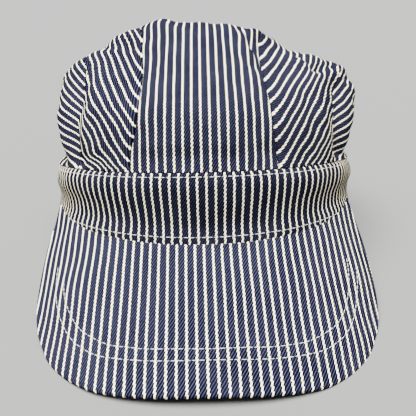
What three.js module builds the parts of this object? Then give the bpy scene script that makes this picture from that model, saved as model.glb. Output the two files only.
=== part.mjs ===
// A railroad engineer cap: a soft crown of five sewn panels over a tall headband, with a bent cloth visor.
// Units are millimetres, +Z is up, +X is to the right of someone who looks at the cap's front, and the
// visor points towards -Y. The pieces are worked out in the cap's upright pose, with its rim level, and
// the whole cap is then tipped back until the rear of the rim and the visor's corners carry it.
import * as THREE from "three";

// Driving dimensions of the head opening, measured on the outside of the cloth.
const HEAD_HALF_WIDTH = 83.5;
const HEAD_FRONT_REACH = 87.6;
const HEAD_BACK_REACH = 104;
const HEAD_CENTRE_Y = -10.5;
const HEAD_FRONT_POWER = 2.12;
const HEAD_BACK_POWER = 2.1;

// Driving dimensions of the headband, the crown and the cloth.
const BAND_HEIGHT = 27;
const BAND_FRONT_DIP = 8;
const CROWN_HEIGHT = 76;
const CROWN_TOP_Y = -8;
const BAND_CLOTH = 2.0;
const CROWN_CLOTH = 1.6;
const SEAM_GAP = 0.3;
const GORE_GROOVE = 3.2;
const GORE_PUFF = 2.2;
const PANEL_GROOVE = 0.8;
const GROOVE_WIDTH = 6;

// Driving dimensions of the visor, whose outline is given on its flat pattern.
const VISOR_LENGTH = 68.8;
const VISOR_HALF_WIDTH = 86.8;
const VISOR_CLOTH = 2.6;
const VISOR_ROOT_Y = -97.2;
const VISOR_ROOT_Z = -4.2;
const VISOR_DROP = THREE.MathUtils.degToRad(41.35);

// How far the cloth that carries the cap is pressed flat.
const REST_PRESS = 0.7;

// Grid counts: along the crown's front seams, round the rear gores, across the panels, and so on.
const SEAM_STEPS = 14;
const REAR_STEPS = 18;
const PANEL_COLUMNS = 8;
const GORE_COLUMNS = 9;
const BAND_STEPS = 84;
const BAND_ROWS = 7;
const VISOR_COLUMNS = 40;
const VISOR_ROWS = 10;

// Crown sections from the band (station 1) to the top (station 0). rise is a share of the crown's
// height, and the other columns are shares of the head opening's reach in that direction.
const CROWN_SECTIONS = [
  { station: 1.0, rise: 0.0, front: 1.005, quarter: 0.985, side: 1.0, rear: 1.0, back: 1.0 },
  { station: 0.93, rise: 0.08, front: 0.975, quarter: 0.985, side: 1.008, rear: 1.01, back: 1.01 },
  { station: 0.87, rise: 0.17, front: 0.973, quarter: 0.98, side: 1.01, rear: 1.02, back: 1.02 },
  { station: 0.8, rise: 0.29, front: 0.943, quarter: 0.96, side: 1.01, rear: 1.02, back: 1.02 },
  { station: 0.73, rise: 0.4, front: 0.882, quarter: 0.915, side: 1.0, rear: 1.01, back: 1.01 },
  { station: 0.65, rise: 0.51, front: 0.79, quarter: 0.84, side: 0.98, rear: 0.98, back: 0.98 },
  { station: 0.57, rise: 0.61, front: 0.7, quarter: 0.75, side: 0.93, rear: 0.915, back: 0.92 },
  { station: 0.48, rise: 0.71, front: 0.608, quarter: 0.65, side: 0.83, rear: 0.81, back: 0.82 },
  { station: 0.38, rise: 0.81, front: 0.506, quarter: 0.53, side: 0.68, rear: 0.66, back: 0.68 },
  { station: 0.27, rise: 0.9, front: 0.37, quarter: 0.39, side: 0.5, rear: 0.49, back: 0.5 },
  { station: 0.14, rise: 0.97, front: 0.2, quarter: 0.215, side: 0.27, rear: 0.265, back: 0.27 },
  { station: 0.0, rise: 1.0, front: 0.0, quarter: 0.0, side: 0.0, rear: 0.0, back: 0.0 },
];
const SECTION_NAMES = ["front", "quarter", "side", "rear", "back"];
const SECTION_TURN = Math.PI / (SECTION_NAMES.length - 1);

// Headband profile from the rim (rise 0) to the crown (rise 1). The other columns are shares of the
// band's height by which the cloth stands out from the head opening.
const BAND_PROFILE = [
  { rise: 0.0, front: 0.0, corner: 0.0, side: 0.0, back: 0.0 },
  { rise: 0.14, front: -0.01, corner: -0.01, side: -0.01, back: 0.0 },
  { rise: 0.3, front: -0.1, corner: -0.1, side: -0.055, back: 0.0 },
  { rise: 0.5, front: 0.0, corner: -0.055, side: -0.02, back: 0.01 },
  { rise: 0.68, front: 0.1, corner: 0.05, side: 0.05, back: 0.03 },
  { rise: 0.85, front: 0.13, corner: 0.065, side: 0.055, back: 0.03 },
  { rise: 1.0, front: 0.045, corner: 0.015, side: 0.015, back: 0.01 },
];
const BAND_NAMES = ["front", "corner", "side", "back"];
const BAND_TURNS = [0, 0.25, 0.5, 1];

// Seams on the crown's map. The map is a disc whose rim is the band and whose centre is the top of the
// crown: across and along are shares of its radius, and along is -1 at the front.
const PANEL_SEAM = [
  { across: 0.385, along: -0.923 },
  { across: 0.335, along: -0.84 },
  { across: 0.3, along: -0.76 },
  { across: 0.265, along: -0.62 },
  { across: 0.248, along: -0.42 },
  { across: 0.237, along: -0.2 },
  { across: 0.237, along: 0.1 },
  { across: 0.26, along: 0.6 },
  { across: 0.3, along: 0.78 },
  { across: 0.385, along: 0.923 },
];
const GORE_TIP_ROW = 6;
const GORE_SHOULDER_ROW = 7;
const GORE_SEAMS = {
  left: [
    { across: -0.743, along: -0.669 },
    { across: -0.62, along: -0.55 },
    { across: -0.545, along: -0.4 },
    { across: -0.5, along: -0.22 },
    { across: -0.43, along: -0.04 },
    { across: -0.237, along: 0.1 },
  ],
  right: [
    { across: 0.809, along: -0.588 },
    { across: 0.66, along: -0.49 },
    { across: 0.615, along: -0.34 },
    { across: 0.59, along: -0.16 },
    { across: 0.46, along: 0.0 },
    { across: 0.237, along: 0.1 },
  ],
};

// Folds and lumps of the crown, placed on the same map. turn is the fold's direction in degrees from
// the front-to-back line, length and width are half sizes as shares of the map's radius, and rise is
// a share of the crown's height, negative for a dent.
const FOLDS = [
  { across: -0.17, along: -0.19, turn: 0, length: 0.22, width: 0.075, rise: 0.07 },
  { across: -0.32, along: -0.12, turn: -10, length: 0.26, width: 0.09, rise: 0.055 },
  { across: -0.51, along: -0.1, turn: -8, length: 0.26, width: 0.1, rise: 0.05 },
  { across: -0.42, along: -0.2, turn: -14, length: 0.2, width: 0.035, rise: -0.022 },
  { across: 0.34, along: -0.14, turn: 8, length: 0.3, width: 0.13, rise: -0.065 },
  { across: 0.6, along: -0.12, turn: 6, length: 0.3, width: 0.13, rise: 0.095 },
  { across: 0.5, along: -0.33, turn: 58, length: 0.16, width: 0.045, rise: -0.035 },
  { across: 0.19, along: -0.4, turn: 24, length: 0.14, width: 0.035, rise: -0.02 },
  { across: -0.2, along: -0.42, turn: -6, length: 0.16, width: 0.03, rise: -0.018 },
  { across: -0.86, along: -0.3, turn: 0, length: 0.5, width: 0.3, rise: -0.02 },
];

// Slope of the visor's cross-section in radians, as powers of the share of its half width.
const VISOR_BEND = { first: 0.45, third: 0.71, fifth: -0.475 };

// Visor outline on the flat pattern, from the front's middle round to the root's end.
const VISOR_OUTLINE = [
  { across: 0.0, reach: 1.0 },
  { across: 0.2, reach: 0.998 },
  { across: 0.38, reach: 0.972 },
  { across: 0.53, reach: 0.915 },
  { across: 0.645, reach: 0.84 },
  { across: 0.75, reach: 0.745 },
  { across: 0.84, reach: 0.635 },
  { across: 0.91, reach: 0.515 },
  { across: 0.962, reach: 0.38 },
  { across: 0.993, reach: 0.235 },
  { across: 1.0, reach: 0.085 },
  { across: 0.999, reach: -0.07 },
  { across: 0.99, reach: -0.24 },
  { across: 0.972, reach: -0.4 },
];
const VISOR_ROOT_SHARE = 0.95;

// The share of the head opening's half width over which the band's lower edge dips.
const RIM_DIP_SHARE = 0.92;

// How many seam gaps the visor's root keeps from the headband, measured towards the head's middle.
const ROOT_CLEARANCE = 1.2;

// Cloth colours: the navy ground of the hickory stripe, slightly different for each piece.
const COLOURS = {
  crown_center_panel: 0x39405c,
  crown_front_left: 0x353c58,
  crown_front_right: 0x353c58,
  crown_rear_left: 0x30374f,
  crown_rear_right: 0x30374f,
  headband: 0x3a415e,
  visor: 0x3d4463,
};

const mix = (a, b, share) => a + (b - a) * share;
const clamp = THREE.MathUtils.clamp;
const smooth = (share) => share * share * (3 - 2 * share);

// A cubic through four values that follows a rounded course without much overshoot.
function cubic(before, from, to, after, share) {
  const start = (to - before) / 2;
  const end = (after - from) / 2;
  const square = share * share;
  const cube = square * share;
  return (2 * cube - 3 * square + 1) * from + (cube - 2 * square + share) * start +
    (3 * square - 2 * cube) * to + (cube - square) * end;
}

// A point between the rows of a seam or outline table, with place counted in rows.
function along(rows, place, keys) {
  const last = rows.length - 1;
  const index = Math.min(Math.floor(clamp(place, 0, last)), last - 1);
  const share = clamp(place, 0, last) - index;
  const pick = (row) => rows[clamp(row, 0, last)];
  return keys.map((key) => cubic(pick(index - 1)[key], pick(index)[key], pick(index + 1)[key],
    pick(index + 2)[key], share));
}

// The place, in rows, at which a table's ordered column has a value.
function placeOf(rows, key, value) {
  for (let index = 0; index < rows.length - 1; index++) {
    const from = rows[index][key];
    const to = rows[index + 1][key];
    const share = (value - from) / (to - from);
    if (share <= 1) return index + Math.max(share, 0);
  }
  return rows.length - 1;
}

// The head opening's outline at a turn in radians, 0 at the front and positive to the right.
function headPoint(turn) {
  const sine = Math.sin(turn);
  const cosine = Math.cos(turn);
  const power = cosine > 0 ? HEAD_FRONT_POWER : HEAD_BACK_POWER;
  const reach = cosine > 0 ? HEAD_FRONT_REACH : HEAD_BACK_REACH;
  const x = HEAD_HALF_WIDTH * Math.sign(sine) * Math.abs(sine) ** (2 / power);
  const y = HEAD_CENTRE_Y - reach * Math.sign(cosine) * Math.abs(cosine) ** (2 / power);
  return new THREE.Vector2(x, y);
}

// The head opening's outward direction at a turn.
function headNormal(turn) {
  const step = 0.002;
  const ahead = headPoint(turn + step);
  const behind = headPoint(turn - step);
  return new THREE.Vector2(ahead.y - behind.y, behind.x - ahead.x).normalize();
}

// How far a point stands outside the head opening, in millimetres, measured towards its middle.
function outside(x, y) {
  const front = y < HEAD_CENTRE_Y;
  const power = front ? HEAD_FRONT_POWER : HEAD_BACK_POWER;
  const reach = front ? HEAD_FRONT_REACH : HEAD_BACK_REACH;
  const share = (Math.abs(x / HEAD_HALF_WIDTH) ** power +
    Math.abs((y - HEAD_CENTRE_Y) / reach) ** power) ** (1 / power);
  return Math.hypot(x, y - HEAD_CENTRE_Y) * (1 - 1 / share);
}

// The crown without folds, at a place on the map.
function plainCrown(across, alongMap) {
  const turn = Math.atan2(across, -alongMap);
  const place = placeOf(CROWN_SECTIONS, "station", Math.min(Math.hypot(across, alongMap), 1));
  const [rise, ...outs] = along(CROWN_SECTIONS, place, ["rise", ...SECTION_NAMES]);
  const head = headPoint(turn);
  const heading = Math.abs(Math.atan2(head.x, CROWN_TOP_Y - head.y)) / SECTION_TURN;
  const index = Math.min(Math.floor(heading), SECTION_NAMES.length - 2);
  const column = (number) => outs[number < 0 ? -number : Math.min(number, 8 - number)];
  const out = cubic(column(index - 1), column(index), column(index + 1), column(index + 2),
    heading - index);
  return new THREE.Vector3(head.x * out, mix(CROWN_TOP_Y, head.y, out), BAND_HEIGHT + CROWN_HEIGHT * rise);
}

// The direction that the crown faces at a place on the map, for any form of the crown.
function facing(form, across, alongMap) {
  const step = 0.006;
  const right = form(across + step, alongMap).sub(form(across - step, alongMap));
  const back = form(across, alongMap + step).sub(form(across, alongMap - step));
  return right.cross(back).normalize();
}

const SEAM_SAMPLES = 30;
const sampleSeam = (rows, side) => Array.from({ length: SEAM_SAMPLES + 1 }, (_, index) => {
  const [across, far] = along(rows, (index / SEAM_SAMPLES) * (rows.length - 1), ["across", "along"]);
  return new THREE.Vector2(across * side, far);
});
const GORE_LINES = [sampleSeam(GORE_SEAMS.left, 1), sampleSeam(GORE_SEAMS.right, 1)];
const PANEL_LINES = [sampleSeam(PANEL_SEAM, -1), sampleSeam(PANEL_SEAM, 1)];

// The distance in millimetres from a place to a seam line, and how far along the line that is.
function seamDistance(line, across, alongMap) {
  let best = { distance: Infinity, share: 0, behind: false };
  line.forEach((point, index) => {
    const distance = Math.hypot(point.x - across, point.y - alongMap) * HEAD_HALF_WIDTH;
    if (distance >= best.distance) return;
    best = { distance, share: index / SEAM_SAMPLES, behind: alongMap > point.y };
  });
  return best;
}

// How far the folds and the seam grooves move the crown's cloth outwards.
function foldRise(across, alongMap) {
  let rise = 0;
  for (const fold of FOLDS) {
    const turn = THREE.MathUtils.degToRad(fold.turn);
    const dx = across - fold.across;
    const dy = alongMap - fold.along;
    const lengthwise = (dy * Math.cos(turn) + dx * Math.sin(turn)) / fold.length;
    const widthwise = (dx * Math.cos(turn) - dy * Math.sin(turn)) / fold.width;
    rise += fold.rise * CROWN_HEIGHT * Math.exp(-lengthwise * lengthwise - widthwise * widthwise);
  }
  for (const line of GORE_LINES) {
    const { distance, share, behind } = seamDistance(line, across, alongMap);
    const fade = 1 - smooth(clamp((share - 0.45) / 0.4, 0, 1));
    rise -= GORE_GROOVE * fade * Math.exp(-((distance / GROOVE_WIDTH) ** 2));
    const swell = behind ? Math.exp(-((distance / GROOVE_WIDTH - 2) ** 2)) : 0;
    rise += GORE_PUFF * fade * swell;
  }
  for (const line of PANEL_LINES) {
    const { distance } = seamDistance(line, across, alongMap);
    rise -= PANEL_GROOVE * Math.exp(-((distance / (GROOVE_WIDTH / 2)) ** 2));
  }
  const rim = clamp((1 - Math.hypot(across, alongMap)) / 0.08, 0, 1);
  return rise * smooth(rim);
}

// The crown's outer surface.
function crownPoint(across, alongMap) {
  const point = plainCrown(across, alongMap);
  return point.addScaledVector(facing(plainCrown, across, alongMap), foldRise(across, alongMap));
}

// A closed sheet from two grids of the same size, an outer one and an inner one. Grid points that
// coincide are welded, so a row may shrink to a point. ring joins the last column to the first.
function sheet(outer, inner, ring = false) {
  const positions = [];
  const known = new Map();
  const index = [];
  const number = (point) => {
    const key = point.toArray().map((value) => Math.round(value * 1e4)).join(" ");
    if (!known.has(key)) {
      known.set(key, positions.length / 3);
      positions.push(point.x, point.y, point.z);
    }
    return known.get(key);
  };
  const triangle = (a, b, c) => {
    const [i, j, k] = [number(a), number(b), number(c)];
    if (i !== j && j !== k && k !== i) index.push(i, j, k);
  };
  const quad = (a, b, c, d) => {
    triangle(a, b, c);
    triangle(a, c, d);
  };
  const rows = outer.length - 1;
  const columns = outer[0].length - 1;
  for (let i = 0; i < rows; i++) {
    for (let j = 0; j < columns; j++) {
      quad(outer[i][j], outer[i][j + 1], outer[i + 1][j + 1], outer[i + 1][j]);
      quad(inner[i][j], inner[i + 1][j], inner[i + 1][j + 1], inner[i][j + 1]);
    }
  }
  for (let j = 0; j < columns; j++) {
    quad(outer[0][j], inner[0][j], inner[0][j + 1], outer[0][j + 1]);
    quad(outer[rows][j], outer[rows][j + 1], inner[rows][j + 1], inner[rows][j]);
  }
  for (let i = 0; i < rows && !ring; i++) {
    quad(outer[i][0], outer[i + 1][0], inner[i + 1][0], inner[i][0]);
    quad(outer[i][columns], inner[i][columns], inner[i + 1][columns], outer[i + 1][columns]);
  }
  const geometry = new THREE.BufferGeometry();
  geometry.setAttribute("position", new THREE.Float32BufferAttribute(positions, 3));
  geometry.setIndex(index);
  return geometry;
}

// Column and row places that crowd towards both ends, where the seams are.
const crowd = (share) => mix(share, 0.5 - 0.5 * Math.cos(Math.PI * share), 0.5);

// A patch of the map between four edges: low runs along the band, high above it, and first and last
// join their ends. Each edge takes a share and gives a place.
function patch(low, high, first, last) {
  return (u, v) => {
    const place = low(u).multiplyScalar(1 - v);
    place.addScaledVector(high(u), v);
    place.addScaledVector(first(v), 1 - u);
    place.addScaledVector(last(v), u);
    place.addScaledVector(low(0), -(1 - u) * (1 - v));
    place.addScaledVector(low(1), -u * (1 - v));
    place.addScaledVector(high(0), -(1 - u) * v);
    return place.addScaledVector(high(1), -u * v);
  };
}

// Moves the rim points of a grid inwards along its rows or columns, for the gap at a seam.
function inset(point, towards, amount) {
  const step = towards.clone().sub(point);
  return step.length() > 1e-6 ? point.clone().addScaledVector(step.normalize(), amount) : point.clone();
}

// A crown panel over a patch of the map, with its rows and columns at the given shares. tip says that
// the last row shrinks to a point, and atBand whether a row stands on the band.
function crownPanel(place, rowShares, columnShares, { tip = false, atBand = (row) => row === 0 } = {}) {
  const rows = rowShares.length - 1;
  const columns = columnShares.length - 1;
  const spots = rowShares.map((v) => columnShares.map((u) => place(u, v)));
  const surface = spots.map((line) => line.map((spot) => crownPoint(spot.x, spot.y)));
  const normals = spots.map((line, row) => line.map((spot) => {
    const normal = facing(crownPoint, spot.x, spot.y);
    return atBand(row) ? normal.setZ(0).normalize() : normal;
  }));
  const outer = surface.map((line, row) => line.map((point, column) => {
    if (tip && row === rows) return inset(point, surface[row - 1][Math.round(columns / 2)], SEAM_GAP * 4);
    let moved = point;
    if (column === 0) moved = inset(moved, line[1], SEAM_GAP / 2);
    if (column === columns) moved = inset(moved, line[columns - 1], SEAM_GAP / 2);
    if (row === rows && !atBand(row)) moved = inset(moved, surface[row - 1][column], SEAM_GAP / 2);
    return moved;
  }));
  const inner = outer.map((line, row) => line.map((point, column) =>
    point.clone().addScaledVector(normals[row][tip && row === rows ? 0 : column], -CROWN_CLOTH)));
  return sheet(outer, inner);
}

// Equal shares, or shares that crowd towards both ends, where the seams are.
const shares = (count, spread = (share) => share) =>
  Array.from({ length: count + 1 }, (_, index) => spread(index / count));

const panelSeam = (place, side) => {
  const [across, far] = along(PANEL_SEAM, place, ["across", "along"]);
  return new THREE.Vector2(across * side, far);
};
const goreSeam = (rows, share) => new THREE.Vector2(
  ...along(rows, share * (rows.length - 1), ["across", "along"]));
const rimPlace = (turn) => new THREE.Vector2(Math.sin(turn), -Math.cos(turn));
const turnOf = (place) => Math.atan2(place.x, -place.y);
const LAST_ROW = PANEL_SEAM.length - 1;

// The strip that runs from the band at the front, over the top, to the band at the back.
function centrePanel() {
  const front = shares(SEAM_STEPS, crowd).map((share) => share * GORE_TIP_ROW);
  const top = shares(REAR_STEPS, crowd).map((share) => mix(GORE_TIP_ROW, GORE_SHOULDER_ROW, share));
  const rear = shares(SEAM_STEPS, crowd).map((share) => mix(LAST_ROW, GORE_SHOULDER_ROW, share));
  const stations = [...front, ...top.slice(1), ...rear.reverse().slice(1)];
  const steps = stations.length - 1;
  const station = (v) => stations[Math.round(v * steps)];
  const frontTurn = turnOf(panelSeam(0, 1));
  const backTurn = turnOf(panelSeam(LAST_ROW, 1));
  const place = patch(
    (u) => rimPlace(mix(-frontTurn, frontTurn, u)),
    (u) => rimPlace(mix(2 * Math.PI - backTurn, backTurn, u)),
    (v) => panelSeam(station(v), -1),
    (v) => panelSeam(station(v), 1),
  );
  return crownPanel(place, shares(steps), shares(PANEL_COLUMNS, crowd),
    { atBand: (row) => row === 0 || row === steps });
}

// The three-cornered piece beside the strip at the front, from the strip's seam to the gore seam.
function frontGore(side, seam) {
  const start = turnOf(panelSeam(0, side));
  const end = turnOf(goreSeam(seam, 0));
  const tip = goreSeam(seam, 1);
  const beside = (v) => panelSeam(v * GORE_TIP_ROW, side);
  const outside = (v) => goreSeam(seam, v);
  const place = side > 0
    ? patch((u) => rimPlace(mix(start, end, u)), () => tip.clone(), beside, outside)
    : patch((u) => rimPlace(mix(end, start, u)), () => tip.clone(), outside, beside);
  return crownPanel(place, shares(SEAM_STEPS, crowd), shares(GORE_COLUMNS, crowd), { tip: true });
}

// The large piece behind the gore seam, round to the strip's seam at the back.
function rearGore(side, seam) {
  const start = turnOf(goreSeam(seam, 0));
  const end = turnOf(panelSeam(LAST_ROW, side));
  const overTop = (u) => panelSeam(mix(GORE_TIP_ROW, GORE_SHOULDER_ROW, u), side);
  const fore = (v) => goreSeam(seam, v);
  const aft = (v) => panelSeam(mix(LAST_ROW, GORE_SHOULDER_ROW, v), side);
  const place = side > 0
    ? patch((u) => rimPlace(mix(start, end, u)), overTop, fore, aft)
    : patch((u) => rimPlace(mix(end, start, u)), (u) => overTop(1 - u), aft, fore);
  return crownPanel(place, shares(SEAM_STEPS, crowd), shares(REAR_STEPS, crowd));
}

// The headband, a closed ring whose lower edge dips at the front, where the visor hangs on it.
function headband() {
  const grid = (depth) => shares(BAND_ROWS).map((share) => shares(BAND_STEPS).map((round) => {
    const turn = (round === 1 ? -1 : mix(-1, 1, round)) * Math.PI;
    const head = headPoint(turn);
    const place = placeOf(BAND_PROFILE, "rise", share);
    const stands = along(BAND_PROFILE, place, BAND_NAMES);
    const heading = Math.abs(turn) / Math.PI;
    const index = heading < BAND_TURNS[1] ? 0 : heading < BAND_TURNS[2] ? 1 : 2;
    const blend = smooth((heading - BAND_TURNS[index]) / (BAND_TURNS[index + 1] - BAND_TURNS[index]));
    const stand = mix(stands[index], stands[index + 1], blend) * BAND_HEIGHT - depth;
    const normal = headNormal(turn);
    const low = rimHeight(head.x, head.y);
    return new THREE.Vector3(head.x + normal.x * stand, head.y + normal.y * stand,
      mix(low, BAND_HEIGHT - SEAM_GAP, share));
  }));
  return sheet(grid(0), grid(BAND_CLOTH), true);
}

// The height of the band's lower edge, which sinks towards the middle of the front.
function rimHeight(x, y) {
  const share = clamp(Math.abs(x) / (HEAD_HALF_WIDTH * RIM_DIP_SHARE), 0, 1);
  return y < HEAD_CENTRE_Y ? -BAND_FRONT_DIP * 0.5 * (1 + Math.cos(Math.PI * share)) : 0;
}

// A point of the visor's upper face from a place on its flat pattern: across from its middle, and reach
// from its root along the straight lines that the bent sheet keeps.
function visorPoint(across, reach) {
  const slices = 24;
  const slope = (share) => VISOR_BEND.first * share + VISOR_BEND.third * share ** 3 +
    VISOR_BEND.fifth * share ** 5;
  let x = 0;
  let sag = 0;
  for (let slice = 0; slice < slices; slice++) {
    const angle = slope((across / VISOR_HALF_WIDTH) * ((slice + 0.5) / slices));
    x += (Math.cos(angle) * across) / slices;
    sag += (Math.sin(angle) * across) / slices;
  }
  return new THREE.Vector3(
    x,
    VISOR_ROOT_Y - reach * Math.cos(VISOR_DROP) + sag * Math.sin(VISOR_DROP),
    VISOR_ROOT_Z - reach * Math.sin(VISOR_DROP) - sag * Math.cos(VISOR_DROP),
  );
}

// The direction that the visor's upper face looks in.
function visorNormal(across) {
  const step = 0.1;
  const right = visorPoint(across + step, 0).sub(visorPoint(across - step, 0));
  const forward = visorPoint(across, step).sub(visorPoint(across, -step));
  return forward.cross(right).normalize();
}

// A point of one of the visor's faces, a depth below its upper one.
const visorFace = (across, reach, depth) =>
  visorPoint(across, reach).addScaledVector(visorNormal(across), -depth);

// The reach at which one of the visor's faces clears the headband at a place across.
function rootReach(across, depth) {
  let near = -VISOR_LENGTH;
  let far = VISOR_LENGTH / 2;
  for (let halving = 0; halving < 40; halving++) {
    const middle = (near + far) / 2;
    const { x, y } = visorFace(across, middle, depth);
    if (outside(x, y) > SEAM_GAP * ROOT_CLEARANCE) far = middle;
    else near = middle;
  }
  return far;
}

// The visor: a stiff sewn sheet, bent round the front of the head.
function visor() {
  const last = VISOR_OUTLINE.length - 1;
  const face = (depth) => {
    const columns = shares(VISOR_COLUMNS).map((share) => {
      const side = mix(-1, 1, share);
      const [across, reach] = along(VISOR_OUTLINE, Math.abs(side) * last, ["across", "reach"]);
      const rootAcross = side * VISOR_ROOT_SHARE * VISOR_HALF_WIDTH;
      return {
        edge: new THREE.Vector2(Math.sign(side) * across * VISOR_HALF_WIDTH, reach * VISOR_LENGTH),
        root: new THREE.Vector2(rootAcross, rootReach(rootAcross, depth)),
      };
    });
    return shares(VISOR_ROWS).map((share) => columns.map(({ edge, root }) => {
      const place = edge.clone().lerp(root, share);
      return visorFace(place.x, place.y, depth);
    }));
  };
  return sheet(face(0), face(VISOR_CLOTH));
}

// The lowest point of a geometry once it is tipped back by an angle.
function lowest(geometry, tip) {
  const position = geometry.getAttribute("position");
  let least = Infinity;
  for (let i = 0; i < position.count; i++) {
    least = Math.min(least, position.getZ(i) * Math.cos(tip) - position.getY(i) * Math.sin(tip));
  }
  return least;
}

// The angle at which the visor and the back of the rim touch the surface together.
function restTip(visorGeometry, bandGeometry) {
  let small = 0;
  let large = Math.PI / 4;
  for (let halving = 0; halving < 40; halving++) {
    const middle = (small + large) / 2;
    if (lowest(visorGeometry, middle) < lowest(bandGeometry, middle)) small = middle;
    else large = middle;
  }
  return small;
}

// Tips a geometry back and presses flat what lies below the surface that carries the cap.
function setDown(geometry, tip, floor) {
  geometry.rotateX(-tip);
  const position = geometry.getAttribute("position");
  for (let i = 0; i < position.count; i++) position.setZ(i, Math.max(position.getZ(i), floor) - floor);
}

const pieces = {
  crown_center_panel: centrePanel(),
  crown_front_left: frontGore(-1, GORE_SEAMS.left),
  crown_front_right: frontGore(1, GORE_SEAMS.right),
  crown_rear_left: rearGore(-1, GORE_SEAMS.left),
  crown_rear_right: rearGore(1, GORE_SEAMS.right),
  headband: headband(),
  visor: visor(),
};

const cap = new THREE.Group();
const tip = restTip(pieces.visor, pieces.headband);
const floor = lowest(pieces.headband, tip) + REST_PRESS;
for (const [name, geometry] of Object.entries(pieces)) {
  setDown(geometry, tip, floor);
  geometry.computeVertexNormals();
  const cloth = new THREE.MeshStandardMaterial({ color: COLOURS[name], roughness: 0.9, metalness: 0 });
  const mesh = new THREE.Mesh(geometry, cloth);
  mesh.name = name;
  cap.add(mesh);
}

// The origin is the middle of the cap's footprint, on the surface that it rests on.
const extent = new THREE.Box3().setFromObject(cap);
const middle = extent.getCenter(new THREE.Vector3());
for (const mesh of cap.children) mesh.position.set(-middle.x, -middle.y, 0);

export default cap;
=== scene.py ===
"""A railroad engineer cap in hickory stripe cloth.

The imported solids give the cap's size and place. This script dresses them: every panel of the crown,
the headband and the visor is cut again as a fine sheet of cloth with its folds, grain and weave, and
the rows of stitches are laid on them. The pieces are worked out in the cap's upright pose, with its rim
level, and RestPose tips them back onto the floor. All lengths are in metres.
"""

import logging
import math
from dataclasses import dataclass, field
from enum import Enum
from typing import Callable, NamedTuple, Sequence

import bpy
import numpy as np
from mathutils import Matrix, Vector


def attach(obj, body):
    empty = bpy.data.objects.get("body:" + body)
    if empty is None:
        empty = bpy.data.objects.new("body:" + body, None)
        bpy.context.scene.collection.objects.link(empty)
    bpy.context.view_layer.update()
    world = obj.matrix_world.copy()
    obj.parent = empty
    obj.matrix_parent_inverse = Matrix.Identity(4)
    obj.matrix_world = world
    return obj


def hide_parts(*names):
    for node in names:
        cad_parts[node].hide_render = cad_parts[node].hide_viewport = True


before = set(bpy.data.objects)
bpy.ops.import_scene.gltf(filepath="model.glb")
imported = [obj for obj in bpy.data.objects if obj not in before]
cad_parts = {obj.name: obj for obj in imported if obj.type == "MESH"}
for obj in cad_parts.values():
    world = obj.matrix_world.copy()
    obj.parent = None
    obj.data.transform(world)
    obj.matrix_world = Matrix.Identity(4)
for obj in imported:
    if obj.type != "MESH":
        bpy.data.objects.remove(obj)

LOG = logging.getLogger("engineer_cap")
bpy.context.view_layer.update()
BODY = "root"
MM = 0.001

# The colour sockets of a Mix node, which also has some of the same names for plain values.
MIX_INPUTS = (0, 6, 7)
MIX_OUTPUT = 2

Places = Callable[[np.ndarray], np.ndarray]
Patch = Callable[[np.ndarray, np.ndarray], np.ndarray]


class Side(Enum):
    """A side of the cap as someone who looks at its front sees it."""

    LEFT = -1
    RIGHT = 1


class Hold(Enum):
    """How a sheet of cloth is held."""

    GATHERED = "gathered"
    STRETCHED = "stretched"


class Slot(Enum):
    """The record's names for the finishes."""

    STRIPE = "stripe_cloth"
    VISOR = "visor_cloth"


class Blending(Enum):
    """How two colours are mixed, in Blender's own words."""

    MIX = "MIX"
    MULTIPLY = "MULTIPLY"


class LampKind(Enum):
    """The kinds of lamp in the studio, in Blender's own words."""

    SUN = "SUN"
    AREA = "AREA"


class CrownSection(NamedTuple):
    """One height of the crown: rise is a share of its height, the rest are shares of the head's reach."""

    station: float
    rise: float
    front: float
    quarter: float
    side: float
    rear: float
    back: float


class BandSection(NamedTuple):
    """One height of the band, and how far it stands out there, as shares of the band's height."""

    rise: float
    front: float
    corner: float
    side: float
    back: float


class MapPoint(NamedTuple):
    """A point on the crown's map, a disc with the band as its rim and the crown's top as its centre."""

    across: float
    along: float


class Fold(NamedTuple):
    """A fold on the crown's map: half sizes are shares of the map, rise is a share of the height."""

    across: float
    along: float
    turn: float
    length: float
    width: float
    rise: float


class Crease(NamedTuple):
    """A sharp fold along a line on the map, with its ridge on the line's left and a valley on its right."""

    line: tuple[MapPoint, ...]
    ridge: float
    valley: float
    width: float


class Relief(NamedTuple):
    """One layer of a cloth's fine random relief, as a share of the cloth's own wrinkle height."""

    wavelength: float
    seed: int
    share: float


class GrainRow(NamedTuple):
    """How many stripes a front gore has passed at one station, from its inner seam to its outer one."""

    station: float
    inner: float
    quarter: float
    middle: float
    three_quarter: float
    outer: float


class OutlinePoint(NamedTuple):
    """A point on the visor's flat pattern, as shares of its half width and its length."""

    across: float
    reach: float


CROWN_SECTIONS = (
    CrownSection(1.0, 0.0, 1.005, 0.985, 1.0, 1.0, 1.0),
    CrownSection(0.93, 0.08, 0.975, 0.985, 1.008, 1.01, 1.01),
    CrownSection(0.87, 0.17, 0.973, 0.98, 1.01, 1.02, 1.02),
    CrownSection(0.8, 0.29, 0.943, 0.96, 1.01, 1.02, 1.02),
    CrownSection(0.73, 0.4, 0.882, 0.915, 1.0, 1.01, 1.01),
    CrownSection(0.65, 0.51, 0.79, 0.84, 0.98, 0.98, 0.98),
    CrownSection(0.57, 0.61, 0.7, 0.75, 0.93, 0.915, 0.92),
    CrownSection(0.48, 0.71, 0.608, 0.65, 0.83, 0.81, 0.82),
    CrownSection(0.38, 0.81, 0.506, 0.53, 0.68, 0.66, 0.68),
    CrownSection(0.27, 0.9, 0.37, 0.39, 0.5, 0.49, 0.5),
    CrownSection(0.14, 0.97, 0.2, 0.215, 0.27, 0.265, 0.27),
    CrownSection(0.0, 1.0, 0.0, 0.0, 0.0, 0.0, 0.0),
)
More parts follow.
